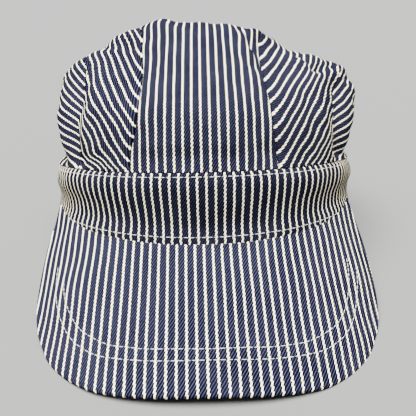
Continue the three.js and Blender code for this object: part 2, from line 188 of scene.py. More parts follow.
BAND_PROFILE = (
    BandSection(0.0, 0.0, 0.0, 0.0, 0.0),
    BandSection(0.14, -0.01, 0.0, 0.02, 0.0),
    BandSection(0.3, -0.03, -0.06, -0.005, 0.0),
    BandSection(0.5, 0.02, -0.045, 0.0, 0.01),
    BandSection(0.68, 0.07, 0.02, 0.035, 0.03),
    BandSection(0.85, 0.09, 0.04, -0.02, 0.02),
    BandSection(1.0, 0.045, -0.01, -0.07, 0.0),
)
# Where the band's four columns stand, as shares of the half turn from the front to the back.
BAND_HEADINGS = (0.0, 0.25, 0.5, 1.0)
PANEL_SEAMS = {
    Side.LEFT: (
        MapPoint(-0.385, -0.923),
        MapPoint(-0.343, -0.84),
        MapPoint(-0.292, -0.76),
        MapPoint(-0.26, -0.62),
        MapPoint(-0.256, -0.42),
        MapPoint(-0.245, -0.2),
        MapPoint(-0.237, 0.1),
        MapPoint(-0.26, 0.6),
        MapPoint(-0.3, 0.78),
        MapPoint(-0.385, 0.923),
    ),
    Side.RIGHT: (
        MapPoint(0.4, -0.9165),
        MapPoint(0.36, -0.83),
        MapPoint(0.317, -0.755),
        MapPoint(0.287, -0.615),
        MapPoint(0.276, -0.42),
        MapPoint(0.262, -0.2),
        MapPoint(0.237, 0.1),
        MapPoint(0.26, 0.6),
        MapPoint(0.3, 0.78),
        MapPoint(0.385, 0.923),
    ),
}
# Places on the strip's seams, in rows: the back end, the front gore's tip, and the point where the rear
# gore's top edge turns into its back edge.
PANEL_END = len(PANEL_SEAMS[Side.LEFT]) - 1
GORE_TIP = 6.0
GORE_SHOULDER = 7.0
GORE_SEAMS = {
    Side.LEFT: (
        MapPoint(-0.733, -0.68),
        MapPoint(-0.648, -0.512),
        MapPoint(-0.573, -0.38),
        MapPoint(-0.5, -0.22),
        MapPoint(-0.43, -0.04),
        MapPoint(-0.237, 0.1),
    ),
    Side.RIGHT: (
        MapPoint(0.838, -0.546),
        MapPoint(0.685, -0.476),
        MapPoint(0.625, -0.35),
        MapPoint(0.585, -0.17),
        MapPoint(0.46, 0.0),
        MapPoint(0.237, 0.1),
    ),
}
FOLDS = (
    Fold(-0.17, -0.19, 0, 0.22, 0.075, 0.07),
    Fold(-0.32, -0.12, -10, 0.26, 0.09, 0.055),
    Fold(-0.51, -0.1, -8, 0.26, 0.1, 0.05),
    Fold(-0.335, -0.19, -14, 0.2, 0.04, -0.06),
    Fold(-0.25, -0.14, -8, 0.22, 0.035, 0.012),
    Fold(0.34, -0.14, 8, 0.3, 0.13, -0.065),
    Fold(0.6, -0.12, 6, 0.3, 0.13, 0.095),
    Fold(0.5, -0.33, 58, 0.16, 0.045, -0.035),
    Fold(0.19, -0.4, 24, 0.14, 0.035, -0.02),
    Fold(-0.2, -0.42, -6, 0.16, 0.03, -0.018),
    Fold(-0.86, -0.3, 0, 0.5, 0.3, -0.02),
    Fold(-0.87, -0.12, 0, 0.45, 0.08, -0.1),
    Fold(0.91, -0.12, 0, 0.45, 0.08, -0.1),
    Fold(0.235, -0.17, 10, 0.22, 0.05, 0.034),
    Fold(0.215, -0.2, 10, 0.15, 0.03, 0.022),
    Fold(0.44, -0.19, 0, 0.2, 0.05, 0.022),
    Fold(0.62, -0.13, 6, 0.2, 0.035, -0.035),
)
CREASES = (
    Crease((MapPoint(0.15, -0.15), MapPoint(0.19, -0.29), MapPoint(0.223, -0.36), MapPoint(0.262, -0.48)),
           -0.03, 0.03, 3 * MM),
    Crease((MapPoint(0.38, -0.2), MapPoint(0.44, -0.28), MapPoint(0.5, -0.32), MapPoint(0.55, -0.24),
            MapPoint(0.575, -0.14)), -0.03, 0.03, 3 * MM),
    Crease((MapPoint(-0.093, -0.15), MapPoint(-0.117, -0.36), MapPoint(-0.15, -0.53)),
           0.008, 0.012, 4 * MM),
)
CROWN_RELIEF = (Relief(16 * MM, 11, 1.0), Relief(7 * MM, 12, 0.4))
BAND_RELIEF = (Relief(24 * MM, 21, 1.0), Relief(9 * MM, 22, 0.5))
VISOR_RELIEF = (Relief(30 * MM, 31, 1.0),)
FRONT_GRAIN = {
    Side.LEFT: (
        GrainRow(0.99, 4.1, 1.9, -0.3, -1.5, -2.2),
        GrainRow(0.96, 4.7, 2.85, 0.5, -0.6, -1.3),
        GrainRow(0.92, 5.5, 3.65, 2.1, 0.6, -0.4),
        GrainRow(0.87, 6.5, 4.7, 2.6, 0.8, -0.5),
        GrainRow(0.81, 8.05, 5.8, 3.8, 2.0, -0.5),
        GrainRow(0.74, 9.3, 7.5, 5.4, 3.9, 1.2),
        GrainRow(0.66, 10.85, 8.9, 7.0, 5.3, 3.7),
        GrainRow(0.57, 12.0, 10.2, 8.3, 6.5, 4.9),
        GrainRow(0.47, 13.2, 11.2, 9.1, 7.0, 5.3),
        GrainRow(0.37, 14.2, 12.3, 10.4, 8.6, 7.0),
        GrainRow(0.28, 15.0, 13.3, 11.7, 10.2, 8.8),
    ),
    Side.RIGHT: (
        GrainRow(0.99, 0.95, -1.3, -3.8, -5.9, -8.0),
        GrainRow(0.96, 1.35, -0.75, -3.0, -5.4, -7.0),
        GrainRow(0.92, 2.1, -0.1, -2.0, -4.7, -6.2),
        GrainRow(0.87, 3.05, 1.0, -0.9, -3.1, -5.4),
        GrainRow(0.81, 4.45, 2.45, 0.15, -1.4, -3.5),
        GrainRow(0.74, 5.8, 4.0, 1.6, -0.2, -1.5),
        GrainRow(0.66, 7.45, 5.4, 3.0, 0.4, -1.4),
        GrainRow(0.57, 8.7, 6.85, 4.8, 1.4, -1.0),
        GrainRow(0.47, 10.0, 8.35, 6.1, 3.2, 0.3),
        GrainRow(0.37, 10.9, 9.7, 8.1, 6.4, 4.3),
        GrainRow(0.28, 11.7, 10.7, 9.7, 8.6, 7.4),
    ),
}
VISOR_OUTLINE = (
    OutlinePoint(0.0, 1.01),
    OutlinePoint(0.2, 1.005),
    OutlinePoint(0.34, 0.988),
    OutlinePoint(0.44, 0.965),
    OutlinePoint(0.54, 0.93),
    OutlinePoint(0.645, 0.865),
    OutlinePoint(0.722, 0.802),
    OutlinePoint(0.785, 0.738),
    OutlinePoint(0.84, 0.665),
    OutlinePoint(0.885, 0.58),
    OutlinePoint(0.935, 0.48),
    OutlinePoint(0.97, 0.37),
    OutlinePoint(0.995, 0.24),
    OutlinePoint(1.004, 0.085),
    OutlinePoint(1.003, -0.07),
    OutlinePoint(0.994, -0.24),
    OutlinePoint(0.972, -0.4),
)
VISOR_ROWS = {
    "thread_visor_inner": (
        OutlinePoint(0.0, 0.737),
        OutlinePoint(0.25, 0.728),
        OutlinePoint(0.37, 0.704),
        OutlinePoint(0.48, 0.664),
        OutlinePoint(0.595, 0.578),
        OutlinePoint(0.66, 0.5),
        OutlinePoint(0.72, 0.39),
        OutlinePoint(0.765, 0.26),
        OutlinePoint(0.79, 0.12),
        OutlinePoint(0.8, 0.0),
    ),
    "thread_visor_outer": (
        OutlinePoint(0.0, 0.804),
        OutlinePoint(0.2, 0.802),
        OutlinePoint(0.36, 0.78),
        OutlinePoint(0.52, 0.727),
        OutlinePoint(0.63, 0.645),
        OutlinePoint(0.7, 0.56),
        OutlinePoint(0.752, 0.47),
        OutlinePoint(0.795, 0.37),
        OutlinePoint(0.83, 0.24),
        OutlinePoint(0.853, 0.1),
        OutlinePoint(0.86, 0.0),
    ),
}


def mix(start: np.ndarray, end: np.ndarray, share: np.ndarray) -> np.ndarray:
    """Returns the value at a share of the way from start to end."""
    return start + (end - start) * share


def smooth(share: np.ndarray) -> np.ndarray:
    """Returns a share held between 0 and 1 and eased at both ends."""
    share = np.clip(share, 0.0, 1.0)
    return share * share * (3.0 - 2.0 * share)


def hump(distance: np.ndarray, width: float) -> np.ndarray:
    """Returns 1 at no distance, falling away as a bell of the given width."""
    return np.exp(-((distance / width) ** 2))


def unit(vectors: np.ndarray) -> np.ndarray:
    """Returns vectors of length one in the same directions."""
    return vectors / np.linalg.norm(vectors, axis=-1, keepdims=True)


def pair(first: np.ndarray, second: np.ndarray) -> np.ndarray:
    """Returns two coordinates side by side in a last axis."""
    return np.stack(np.broadcast_arrays(first, second), -1)


def hermite(values: Sequence[np.ndarray], share: np.ndarray) -> np.ndarray:
    """Returns a rounded course between the second and third of four values.

    Args:
        values: The value before, the two to go between, and the value after.
        share: How far between the two, from 0 to 1.

    Returns:
        The values on the course.
    """
    before, start, end, after = values
    first, second = (end - before) / 2, (after - start) / 2
    square, cube = share**2, share**3
    return (
        (2 * cube - 3 * square + 1) * start
        + (cube - 2 * square + share) * first
        + (3 * square - 2 * cube) * end
        + (cube - square) * second
    )


def course(table: np.ndarray, place: np.ndarray) -> np.ndarray:
    """Follows the columns of a table on a rounded course through its rows.

    Args:
        table: Rows of values.
        place: Places counted in rows.

    Returns:
        The columns' values at each place, in a last axis.
    """
    last = len(table) - 1
    place = np.clip(place, 0, last)
    index = np.minimum(np.floor(place).astype(int), last - 1)
    rows = [table[np.clip(index + step, 0, last)] for step in (-1, 0, 1, 2)]
    return hermite(rows, (place - index)[..., None])


def place_of(column: np.ndarray, value: np.ndarray) -> np.ndarray:
    """Returns the place, in rows, at which an ordered column has each value."""
    order = 1 if column[-1] > column[0] else -1
    return np.interp(order * np.asarray(value), order * column, np.arange(len(column)))


def ripple(points: np.ndarray, wavelength: float, seed: int, waves: int = 14) -> np.ndarray:
    """Gives a smooth random relief for points in space.

    Args:
        points: Points, with their coordinates in the last axis.
        wavelength: The usual distance from one rise to the next.
        seed: Which relief to give.
        waves: How many plane waves are added up.

    Returns:
        The relief at the points, mostly between -1 and 1.
    """
    shortest, longest = 0.7, 1.5
    random = np.random.default_rng(seed)
    headings = unit(random.normal(size=(waves, points.shape[-1])))
    lengths = wavelength * random.uniform(shortest, longest, waves)
    phases = random.uniform(0, 2 * math.pi, waves)
    angles = points @ (headings.T * (2 * math.pi / lengths)) + phases
    return np.sin(angles).sum(-1) * math.sqrt(2 / waves)


def relief_of(points: np.ndarray, layers: Sequence[Relief]) -> np.ndarray:
    """Returns the sum of a cloth's layers of fine relief at points."""
    return sum(layer.share * ripple(points, layer.wavelength, layer.seed) for layer in layers)


def steps_between(points: np.ndarray, axis: int) -> np.ndarray:
    """Measures along the lines of a grid of points.

    Args:
        points: The grid, with coordinates in the last axis.
        axis: The axis to go along.

    Returns:
        The running length from the start of each line to each point.
    """
    lengths = np.linalg.norm(np.diff(points, axis=axis), axis=-1)
    widths = [(1, 0) if number == axis else (0, 0) for number in range(lengths.ndim)]
    return np.pad(np.cumsum(lengths, axis=axis), widths)


@dataclass(frozen=True)
class EdgeSpacing:
    """How a sheet's grid lines are spaced: close on the rounded edges, wider between them.

    A radius is never more than one of radius_parts equal parts of a length, a gap of gap_parts.
    """

    radius: float
    gap: float = 0.15 * MM
    rounds: int = 4
    radius_parts: int = 6
    gap_parts: int = 12
    crowding: float = 0.35

    def shares(self, length: np.ndarray, count: int) -> np.ndarray:
        """Spaces grid lines over lengths.

        Args:
            length: The real lengths to divide.
            count: How many spaces each is divided into.

        Returns:
            Shares of each length, count + 1 of them in a last axis.
        """
        length = np.asarray(length, float)[..., None]
        radius = np.minimum(self.radius, length / self.radius_parts)
        gap = np.minimum(self.gap, length / self.gap_parts)
        arc = np.linspace(0, math.pi / 2, self.rounds + 1)
        start = gap + radius * (1 - np.cos(arc))
        even = np.linspace(0, 1, count - 2 * self.rounds + 1)[1:-1]
        spread = mix(even, 0.5 - 0.5 * np.cos(math.pi * even), self.crowding)
        middle = mix(gap + radius, length - gap - radius, spread)
        return np.concatenate([start, middle, length - start[..., ::-1]], -1) / length

    def depth(self, distance: np.ndarray) -> np.ndarray:
        """Returns how far below the sheet's face its rounded edge lies at distances from it."""
        inside = 1 - np.clip((distance - self.gap) / self.radius, 0, 1)
        return self.radius * (1 - np.sqrt(np.clip(1 - inside**2, 0, 1)))


@dataclass(frozen=True)
class RestPose:
    """How the upright cap is tipped back and set down on the floor."""

    tip: float = 0.22767
    floor: float = -20.404 * MM
    shift_x: float = -1.426 * MM
    shift_y: float = 25.596 * MM

    def turned(self, vectors: np.ndarray) -> np.ndarray:
        """Tips directions back.

        Args:
            vectors: Directions of the upright cap.

        Returns:
            The same directions at rest.
        """
        x, y, z = np.moveaxis(np.asarray(vectors, float), -1, 0)
        cosine, sine = math.cos(self.tip), math.sin(self.tip)
        return np.stack([x, y * cosine + z * sine, z * cosine - y * sine], -1)

    def placed(self, points: np.ndarray) -> np.ndarray:
        """Returns points of the upright cap where they are at rest."""
        return self.turned(points) + np.array([self.shift_x, self.shift_y, -self.floor])

    def settled(self, points: np.ndarray) -> np.ndarray:
        """Sets points down on the floor.

        Args:
            points: Points of the upright cap.

        Returns:
            The points at rest, with what would sink into the floor pressed flat on it.
        """
        resting = self.placed(points)
        resting[..., 2] = np.maximum(resting[..., 2], 0.0)
        return resting


@dataclass(frozen=True)
class ClothGrid:
    """A closed sheet of cloth as two grids of points, with the grain that its weave follows."""

    name: str
    outer: np.ndarray
    inner: np.ndarray
    grain: np.ndarray
    flat: tuple[float, float]
    hold: Hold
    ring: bool = False
    tip: bool = False

    def numbers(self) -> tuple[np.ndarray, np.ndarray]:
        """Numbers the corner points of both faces, which share those on the sheet's edges.

        Returns:
            The outer face's point numbers and the inner face's.
        """
        rows, columns = self.outer.shape[:2]
        outer = np.arange(rows * columns).reshape(rows, columns)
        if self.ring:
            outer[:, -1] = outer[:, 0]
        if self.tip:
            outer[-1, :] = outer[-1, 0]
        inner = outer + rows * columns
        inner[0], inner[-1] = outer[0], outer[-1]
        if not self.ring:
            inner[:, 0], inner[:, -1] = outer[:, 0], outer[:, -1]
        return outer, inner

    def build(self, pose: RestPose) -> bpy.types.Object:
        """Makes the sheet's mesh at rest.

        Args:
            pose: Where the cap rests.

        Returns:
            The sheet as an object with a grain map in metres.
        """
        outer, inner = self.numbers()
        grain = self.grain.reshape(-1, 2)
        cells = np.arange(self.outer.shape[0] * self.outer.shape[1]).reshape(self.outer.shape[:2])
        faces: list[list[int]] = []
        places: list[int] = []
        for numbers, order in ((outer, (0, 1, 2, 3)), (inner, (0, 3, 2, 1))):
            corners = corner_grid(numbers)[:, order].tolist()
            spots = corner_grid(cells)[:, order].tolist()
            for face, spot in zip(corners, spots):
                kept = [index for index in range(4) if face[index] != face[index - 1]]
                if len(kept) > 2:
                    faces.append([face[index] for index in kept])
                    places.extend(spot[index] for index in kept)
        points = pose.settled(np.concatenate([self.outer.reshape(-1, 3), self.inner.reshape(-1, 3)]))
        used, packed = np.unique(np.concatenate([np.array(face) for face in faces]), return_inverse=True)
        bounds = np.cumsum([0] + [len(face) for face in faces])
        packed = packed.tolist()
        mesh = bpy.data.meshes.new(self.name)
        mesh.from_pydata(points[used], [], [packed[a:b] for a, b in zip(bounds[:-1], bounds[1:])])
        layer = mesh.uv_layers.new(name="grain")
        layer.data.foreach_set("uv", grain[places].ravel())
        mesh.shade_smooth()
        mesh.update()
        piece = bpy.data.objects.new(f"{self.name}_cloth", mesh)
        bpy.context.scene.collection.objects.link(piece)
        return piece


def grid_facing(points: np.ndarray, fallback: np.ndarray, least: float = 1e-10) -> np.ndarray:
    """Works out the directions that a grid of points faces.

    Args:
        points: Rows and columns of points.
        fallback: Directions to use where the grid shrinks to a point.
        least: The smallest area of a cell, in square metres, that still gives a direction.

    Returns:
        A direction of length one at each point.
    """
    facing = np.cross(np.gradient(points, axis=1), np.gradient(points, axis=0))
    length = np.linalg.norm(facing, axis=-1, keepdims=True)
    return np.where(length > least, facing / np.maximum(length, least / 100), fallback)


def corner_grid(numbers: np.ndarray) -> np.ndarray:
    """Returns the four corners of every cell of a grid of point numbers, going round each cell."""
    corners = (numbers[:-1, :-1], numbers[:-1, 1:], numbers[1:, 1:], numbers[1:, :-1])
    return np.stack([corner.ravel() for corner in corners], -1)


@dataclass(frozen=True)
class HeadOpening:
    """The outline of the cap's opening, measured on the outside of the cloth."""

    half_width: float = 83.5 * MM
    front_reach: float = 87.6 * MM
    back_reach: float = 104 * MM
    centre_y: float = -10.5 * MM
    front_power: float = 2.12
    back_power: float = 2.1
    probe: float = 0.002
    arc_samples: int = 4001

    def point(self, turn: np.ndarray) -> np.ndarray:
        """Follows the outline.

        Args:
            turn: Turns in radians, 0 at the front and positive to the right.

        Returns:
            The outline's x and y at the turns.
        """
        sine, cosine = np.sin(turn), np.cos(turn)
        power = np.where(cosine > 0, self.front_power, self.back_power)
        reach = np.where(cosine > 0, self.front_reach, self.back_reach)
        x = self.half_width * np.sign(sine) * np.abs(sine) ** (2 / power)
        y = self.centre_y - reach * np.sign(cosine) * np.abs(cosine) ** (2 / power)
        return pair(x, y)

    def normal(self, turn: np.ndarray) -> np.ndarray:
        """Returns the outward directions at turns."""
        step = self.point(turn + self.probe) - self.point(turn - self.probe)
        return unit(pair(step[..., 1], -step[..., 0]))

    def outside(self, points: np.ndarray) -> np.ndarray:
        """Measures points against the outline.

        Args:
            points: Points, of which x and y count.

        Returns:
            How far each stands outside the outline, measured towards its middle.
        """
        x, y = points[..., 0], points[..., 1] - self.centre_y
        power = np.where(y < 0, self.front_power, self.back_power)
        reach = np.where(y < 0, self.front_reach, self.back_reach)
        share = (np.abs(x / self.half_width) ** power + np.abs(y / reach) ** power) ** (1 / power)
        return np.hypot(x, y) * (1 - 1 / share)

    def arc(self, turn: np.ndarray) -> np.ndarray:
        """Measures along the outline.

        Args:
            turn: Turns to measure to.

        Returns:
            The outline's length from the front to each turn, negative on the left.
        """
        turns = np.linspace(-math.pi, math.pi, self.arc_samples)
        lengths = steps_between(self.point(turns), 0)
        return np.interp(turn, turns, lengths - lengths[self.arc_samples // 2])


@dataclass
class Crown:
    """The soft crown: a strip over the top, two gores beside it at the front and two large ones behind.

    Attributes:
        band_height: Where the crown starts, over the rim at the cap's sides.
        gore_groove: How deep the outer seams lie.
        gore_puff: How far the rear gores swell out behind them.
        groove_full: The share of an outer seam over which its groove keeps its whole depth.
        groove_fade: The share of it over which the groove then dies away.
        valley_width: The width of a crease's valley, as a share of its ridge's.
        fold_margin: How much of the map beside the band has folds that die away.
        wrinkle_margin: The same for the fine wrinkles.
        rear_gather: How much closer the stripes of the rear gores lie than flat cloth has them.
        strip_offset: How far the strip's stripes lie off its middle.
        batch: How many map places are measured against a line at once.
    """

    head: HeadOpening
    band_height: float = 27 * MM
    height: float = 76 * MM
    top_y: float = -8 * MM
    cloth: float = 1.6 * MM
    gore_groove: float = 3.2 * MM
    gore_puff: float = 2.2 * MM
    panel_groove: float = 0.8 * MM
    groove_width: float = 6 * MM
    pitch: float = 4 * MM
    rear_slant: float = math.radians(17)
    rear_gather: float = 1.15
    strip_offset: float = 0.4 * MM
    front_lean: float = math.radians(30)
    wrinkle: float = 0.3 * MM
    wrinkle_margin: float = 0.06
    fold_margin: float = 0.05
    groove_full: float = 0.45
    groove_fade: float = 0.4
    valley_width: float = 0.6
    strip_cells: tuple[int, int] = (64, 250)
    front_cells: tuple[int, int] = (72, 92)
    rear_cells: tuple[int, int] = (150, 110)
    seam_samples: int = 241
    turn_samples: int = 361
    station_samples: int = 121
    grain_samples: int = 200
    patch_samples: int = 41
    batch: int = 4000
    spacing: EdgeSpacing = field(default_factory=lambda: EdgeSpacing(0.8 * MM))

    def __post_init__(self) -> None:
        """Turns the tables into arrays, and samples the seams and the meridians."""
        self.sections = np.array(CROWN_SECTIONS)
        self.panel_rows = {side: np.array(rows) for side, rows in PANEL_SEAMS.items()}
        self.gore_rows = {side: np.array(rows) for side, rows in GORE_SEAMS.items()}
        samples = np.linspace(0, 1, self.seam_samples)
        self.gore_lines = {side: self.gore_seam(side, samples) for side in Side}
        self.panel_lines = [self.panel_seam(side, samples * PANEL_END) for side in Side]
        self.turns = np.linspace(-math.pi, math.pi, self.turn_samples)
        self.stations = np.linspace(0, 1, self.station_samples)
        turn, station = np.meshgrid(self.turns, self.stations, indexing="ij")
        lines = self.plain(pair(station * np.sin(turn), -station * np.cos(turn)))
        lengths = steps_between(lines, 1)
        self.meridians = lengths[:, -1:] - lengths

    def panel_seam(self, side: Side, place: np.ndarray) -> np.ndarray:
        """Returns the map places of the strip's seam at places counted in its rows."""
        return course(self.panel_rows[side], place)

    def gore_seam(self, side: Side, share: np.ndarray) -> np.ndarray:
        """Returns the map places of an outer seam at shares of its length."""
        rows = self.gore_rows[side]
        return course(rows, np.asarray(share, float) * (len(rows) - 1))

    def plain(self, spots: np.ndarray) -> np.ndarray:
        """Works out the crown without folds.

        Args:
            spots: Places on the map.

        Returns:
            The points of the cloth's outer face.
        """
        across, far = spots[..., 0], spots[..., 1]
        station = np.minimum(np.hypot(across, far), 1)
        values = course(self.sections[:, 1:], place_of(self.sections[:, 0], station))
        rise, outs = values[..., 0], values[..., 1:]
        head = self.head.point(np.arctan2(across, -far))
        back = outs.shape[-1] - 1
        heading = np.abs(np.arctan2(head[..., 0], self.top_y - head[..., 1])) / (math.pi / back)
        index = np.clip(np.floor(heading).astype(int), 0, back - 1)
        picks = [np.abs(index + step) for step in (-1, 0, 1, 2)]
        picks = [np.minimum(pick, 2 * back - pick)[..., None] for pick in picks]
        columns = [np.take_along_axis(outs, pick, -1) for pick in picks]
        out = hermite(columns, (heading - index)[..., None])[..., 0]
        y = mix(self.top_y, head[..., 1], out)
        return np.stack([head[..., 0] * out, y, self.band_height + self.height * rise], -1)

    def facing(self, form: Places, spots: np.ndarray, step: float = 0.004) -> np.ndarray:
        """Works out the directions that a form of the crown faces.

        Args:
            form: Gives the form's points from map places.
            spots: The map places.
            step: How far apart on the map the form is sampled.

        Returns:
            A direction of length one at each place.
        """
        right = form(spots + [step, 0]) - form(spots - [step, 0])
        back = form(spots + [0, step]) - form(spots - [0, step])
        return unit(np.cross(right, back))

    def line_distance(self, line: np.ndarray, spots: np.ndarray) -> tuple[np.ndarray, np.ndarray]:
        """Measures map places against a line on the map.

        Args:
            line: Places along the line.
            spots: The places to measure.

        Returns:
            Each place's distance in metres, positive on the line's left, and the share along the line.
        """
        flat = spots.reshape(-1, 2)
        nearest = np.concatenate([
            np.linalg.norm(part[:, None] - line[None], axis=-1).argmin(1)
            for part in np.array_split(flat, max(1, len(flat) // self.batch))
        ])
        away = flat - line[nearest]
        heading = np.gradient(line, axis=0)[nearest]
        side = np.sign(heading[:, 0] * away[:, 1] - heading[:, 1] * away[:, 0])
        distance = np.linalg.norm(away, axis=-1) * self.head.half_width * side
        shape = spots.shape[:-1]
        return distance.reshape(shape), (nearest / (len(line) - 1)).reshape(shape)

    def band_fade(self, spots: np.ndarray, margin: float) -> np.ndarray:
        """Returns a share that falls from 1 to 0 over a margin of the map beside the band."""
        return smooth((1 - np.hypot(spots[..., 0], spots[..., 1])) / margin)

    def fold_rise(self, spots: np.ndarray) -> np.ndarray:
        """Adds up the soft folds, the lumps and the grooves of the seams.

        Args:
            spots: Places on the map.

        Returns:
            How far the cloth is moved outwards at each.
        """
        rise = np.zeros(spots.shape[:-1])
        for fold in FOLDS:
            turn = math.radians(fold.turn)
            across, far = spots[..., 0] - fold.across, spots[..., 1] - fold.along
            lengthwise = (far * math.cos(turn) + across * math.sin(turn)) / fold.length
            widthwise = (across * math.cos(turn) - far * math.sin(turn)) / fold.width
            rise += fold.rise * self.height * np.exp(-(lengthwise**2) - widthwise**2)
        for side, line in self.gore_lines.items():
            distance, share = self.line_distance(line, spots)
            fade = 1 - smooth((share - self.groove_full) / self.groove_fade)
            behind = -side.value * distance - 2 * self.groove_width
            rise -= self.gore_groove * fade * hump(distance, self.groove_width)
            rise += self.gore_puff * fade * hump(behind, self.groove_width)
        for line in self.panel_lines:
            distance = self.line_distance(line, spots)[0]
            rise -= self.panel_groove * hump(distance, self.groove_width / 2)
        return rise * self.band_fade(spots, self.fold_margin)

    def crease_rise(self, spots: np.ndarray) -> np.ndarray:
        """Adds up the sharp creases.

        Args:
            spots: Places on the map.

        Returns:
            How far the cloth is moved outwards at each.
        """
        rise = np.zeros(spots.shape[:-1])
        for crease in CREASES:
            rows = np.array(crease.line)
            line = course(rows, np.linspace(0, len(rows) - 1, self.station_samples))
            distance, share = self.line_distance(line, spots)
            side = math.copysign(1, crease.ridge)
            fade = np.sqrt(np.clip(np.sin(math.pi * share), 0, 1)) * self.height
            rise += abs(crease.ridge) * fade * hump(side * distance - crease.width, crease.width)
            valley = crease.width * self.valley_width
            rise -= crease.valley * fade * hump(side * distance + valley, valley)
        return rise

    def surface(self, spots: np.ndarray) -> np.ndarray:
        """Works out the crown with its folds and fine wrinkles.

        Args:
            spots: Places on the map.

        Returns:
            The points of the cloth's outer face.
        """
        points = self.plain(spots)
        fine = relief_of(points, CROWN_RELIEF)
        near_band = self.band_fade(spots, self.wrinkle_margin)
        rise = self.fold_rise(spots) + self.crease_rise(spots) + self.wrinkle * fine * near_band
        return points + self.facing(self.plain, spots) * rise[..., None]

    def panel(self, name: str, place: Patch, counts: tuple[int, int], grain: Places, hold: Hold,
              ends_at_band: bool = False, tip: bool = False) -> ClothGrid:
        """Cuts one panel over a patch of the map.

        Args:
            name: The piece's name.
            place: Gives map places from shares across the panel and along it.
            counts: How many cells the panel has across and along.
            grain: Gives the grain's two lengths from the grid of map places.
            hold: How the cloth is held.
            ends_at_band: If the last row stands on the band as well.
            tip: If the last row shrinks to a point.

        Returns:
            The panel's two faces and its grain.
        """
        even = np.linspace(0, 1, self.patch_samples)
        u, v = np.meshgrid(even, even)
        rough = self.plain(place(u, v))
        widths, lengths = steps_between(rough, 1)[:, -1], steps_between(rough, 0)[-1]
        across, along = counts
        rows = self.spacing.shares(lengths.mean(), along)
        columns = self.spacing.shares(widths.mean(), across)
        width = np.interp(rows, even, widths)
        length = np.interp(columns, even, lengths)
        u = self.spacing.shares(width, across)
        v = self.spacing.shares(length, along).T
        spots = place(u, v)
        surface = self.surface(spots)
        facing = grid_facing(surface, self.facing(self.plain, spots))
        for row in (0, -1) if ends_at_band else (0,):
            facing[row, :, 2] = 0
            facing[row] = unit(facing[row])
        from_sides = np.minimum(u, 1 - u) * width[:, None]
        from_ends = np.minimum(v, 1 if tip else 1 - v) * length[None]
        depth = self.spacing.depth(np.minimum(from_sides, from_ends))[..., None]
        grain_map = grain(spots)
        size = (float(np.ptp(steps_between(surface, 1)[:, -1]) + widths.min()), float(lengths.max()))
        return ClothGrid(name, surface - facing * depth, surface - facing * (self.cloth - depth),
                         grain_map, size, hold, tip=tip)

    def rim(self, turn: np.ndarray) -> np.ndarray:
        """Returns map places on the band at turns."""
        return pair(np.sin(turn), -np.cos(turn))

    def meridian(self, spots: np.ndarray) -> np.ndarray:
        """Measures over the crown.

        Args:
            spots: Places on the map.

        Returns:
            The length from the band straight up to each.
        """
        turn = np.arctan2(spots[..., 0], -spots[..., 1])
        station = np.minimum(np.hypot(spots[..., 0], spots[..., 1]), 1) * (len(self.stations) - 1)
        row = np.clip((turn + math.pi) / (2 * math.pi) * (len(self.turns) - 1), 0, len(self.turns) - 1)
        i = np.minimum(row.astype(int), len(self.turns) - 2)
        j = np.minimum(station.astype(int), len(self.stations) - 2)
        low = mix(self.meridians[i, j], self.meridians[i, j + 1], station - j)
        high = mix(self.meridians[i + 1, j], self.meridians[i + 1, j + 1], station - j)
        return mix(low, high, row - i)

    def strip_grain(self, spots: np.ndarray) -> np.ndarray:
        """Lays the stripes of the strip along it.

        Args:
            spots: Its map places.

        Returns:
            Lengths across from its middle, and along it from the front.
        """
        points = self.plain(spots)
        across = steps_between(points, 1)
        middle = across.shape[1] // 2
        along = steps_between(points[:, middle], 0)
        from_middle = across - across[:, middle:middle + 1] + points[:, middle:middle + 1, 0]
        return pair(from_middle + self.strip_offset, along[:, None])

    def front_grain(self, side: Side, spots: np.ndarray) -> np.ndarray:
        """Lays the stripes of a front gore as its table of stripe counts says.

        Args:
            side: Which gore.
            spots: Its map places.

        Returns:
            Lengths across the stripes and along them.
        """
        table = np.array(FRONT_GRAIN[side])
        station = np.hypot(spots[..., 0], spots[..., 1])
        turn = np.arctan2(spots[..., 0], -spots[..., 1])
        seams = []
        for line in (self.panel_seam(side, np.linspace(0, GORE_TIP, self.grain_samples)),
                     self.gore_seam(side, np.linspace(0, 1, self.grain_samples))):
            reach = np.hypot(line[:, 0], line[:, 1])
            seams.append(np.interp(-station, -reach, np.arctan2(line[:, 0], -line[:, 1])))
        least = 1e-4
        gap = np.where(np.abs(seams[1] - seams[0]) < least, least, seams[1] - seams[0])
        share = np.clip((turn - seams[0]) / gap, 0, 1)
        rows = course(table[:, 1:], place_of(table[:, 0], station))
        counts = course_across(rows, share * (rows.shape[-1] - 1))
        around = (self.head.arc(turn) - self.head.arc(seams[0])) * side.value
        rise, slant = math.cos(self.front_lean), math.sin(self.front_lean)
        along = self.meridian(spots) * rise + around * station * slant
        return pair(-side.value * counts * self.pitch, along)

    def rear_grain(self, side: Side, spots: np.ndarray) -> np.ndarray:
        """Lays the stripes of a rear gore round the head, dropping towards the front.

        Args:
            side: Which gore.
            spots: Its map places.

        Returns:
            Lengths across the stripes and along them.
        """
        seam = self.gore_seam(side, 0.0)
        turn = np.arctan2(spots[..., 0], -spots[..., 1])
        start = self.head.arc(np.arctan2(seam[0], -seam[1]))
        out = np.interp(np.hypot(spots[..., 0], spots[..., 1]), self.sections[::-1, 0],
                        self.sections[::-1, 4])
        around = (self.head.arc(turn) - start) * side.value * out
        up = self.meridian(spots)
        cosine, sine = math.cos(self.rear_slant), math.sin(self.rear_slant)
        across = (up * cosine - around * sine) * self.rear_gather
        return pair(across, -side.value * (up * sine + around * cosine))

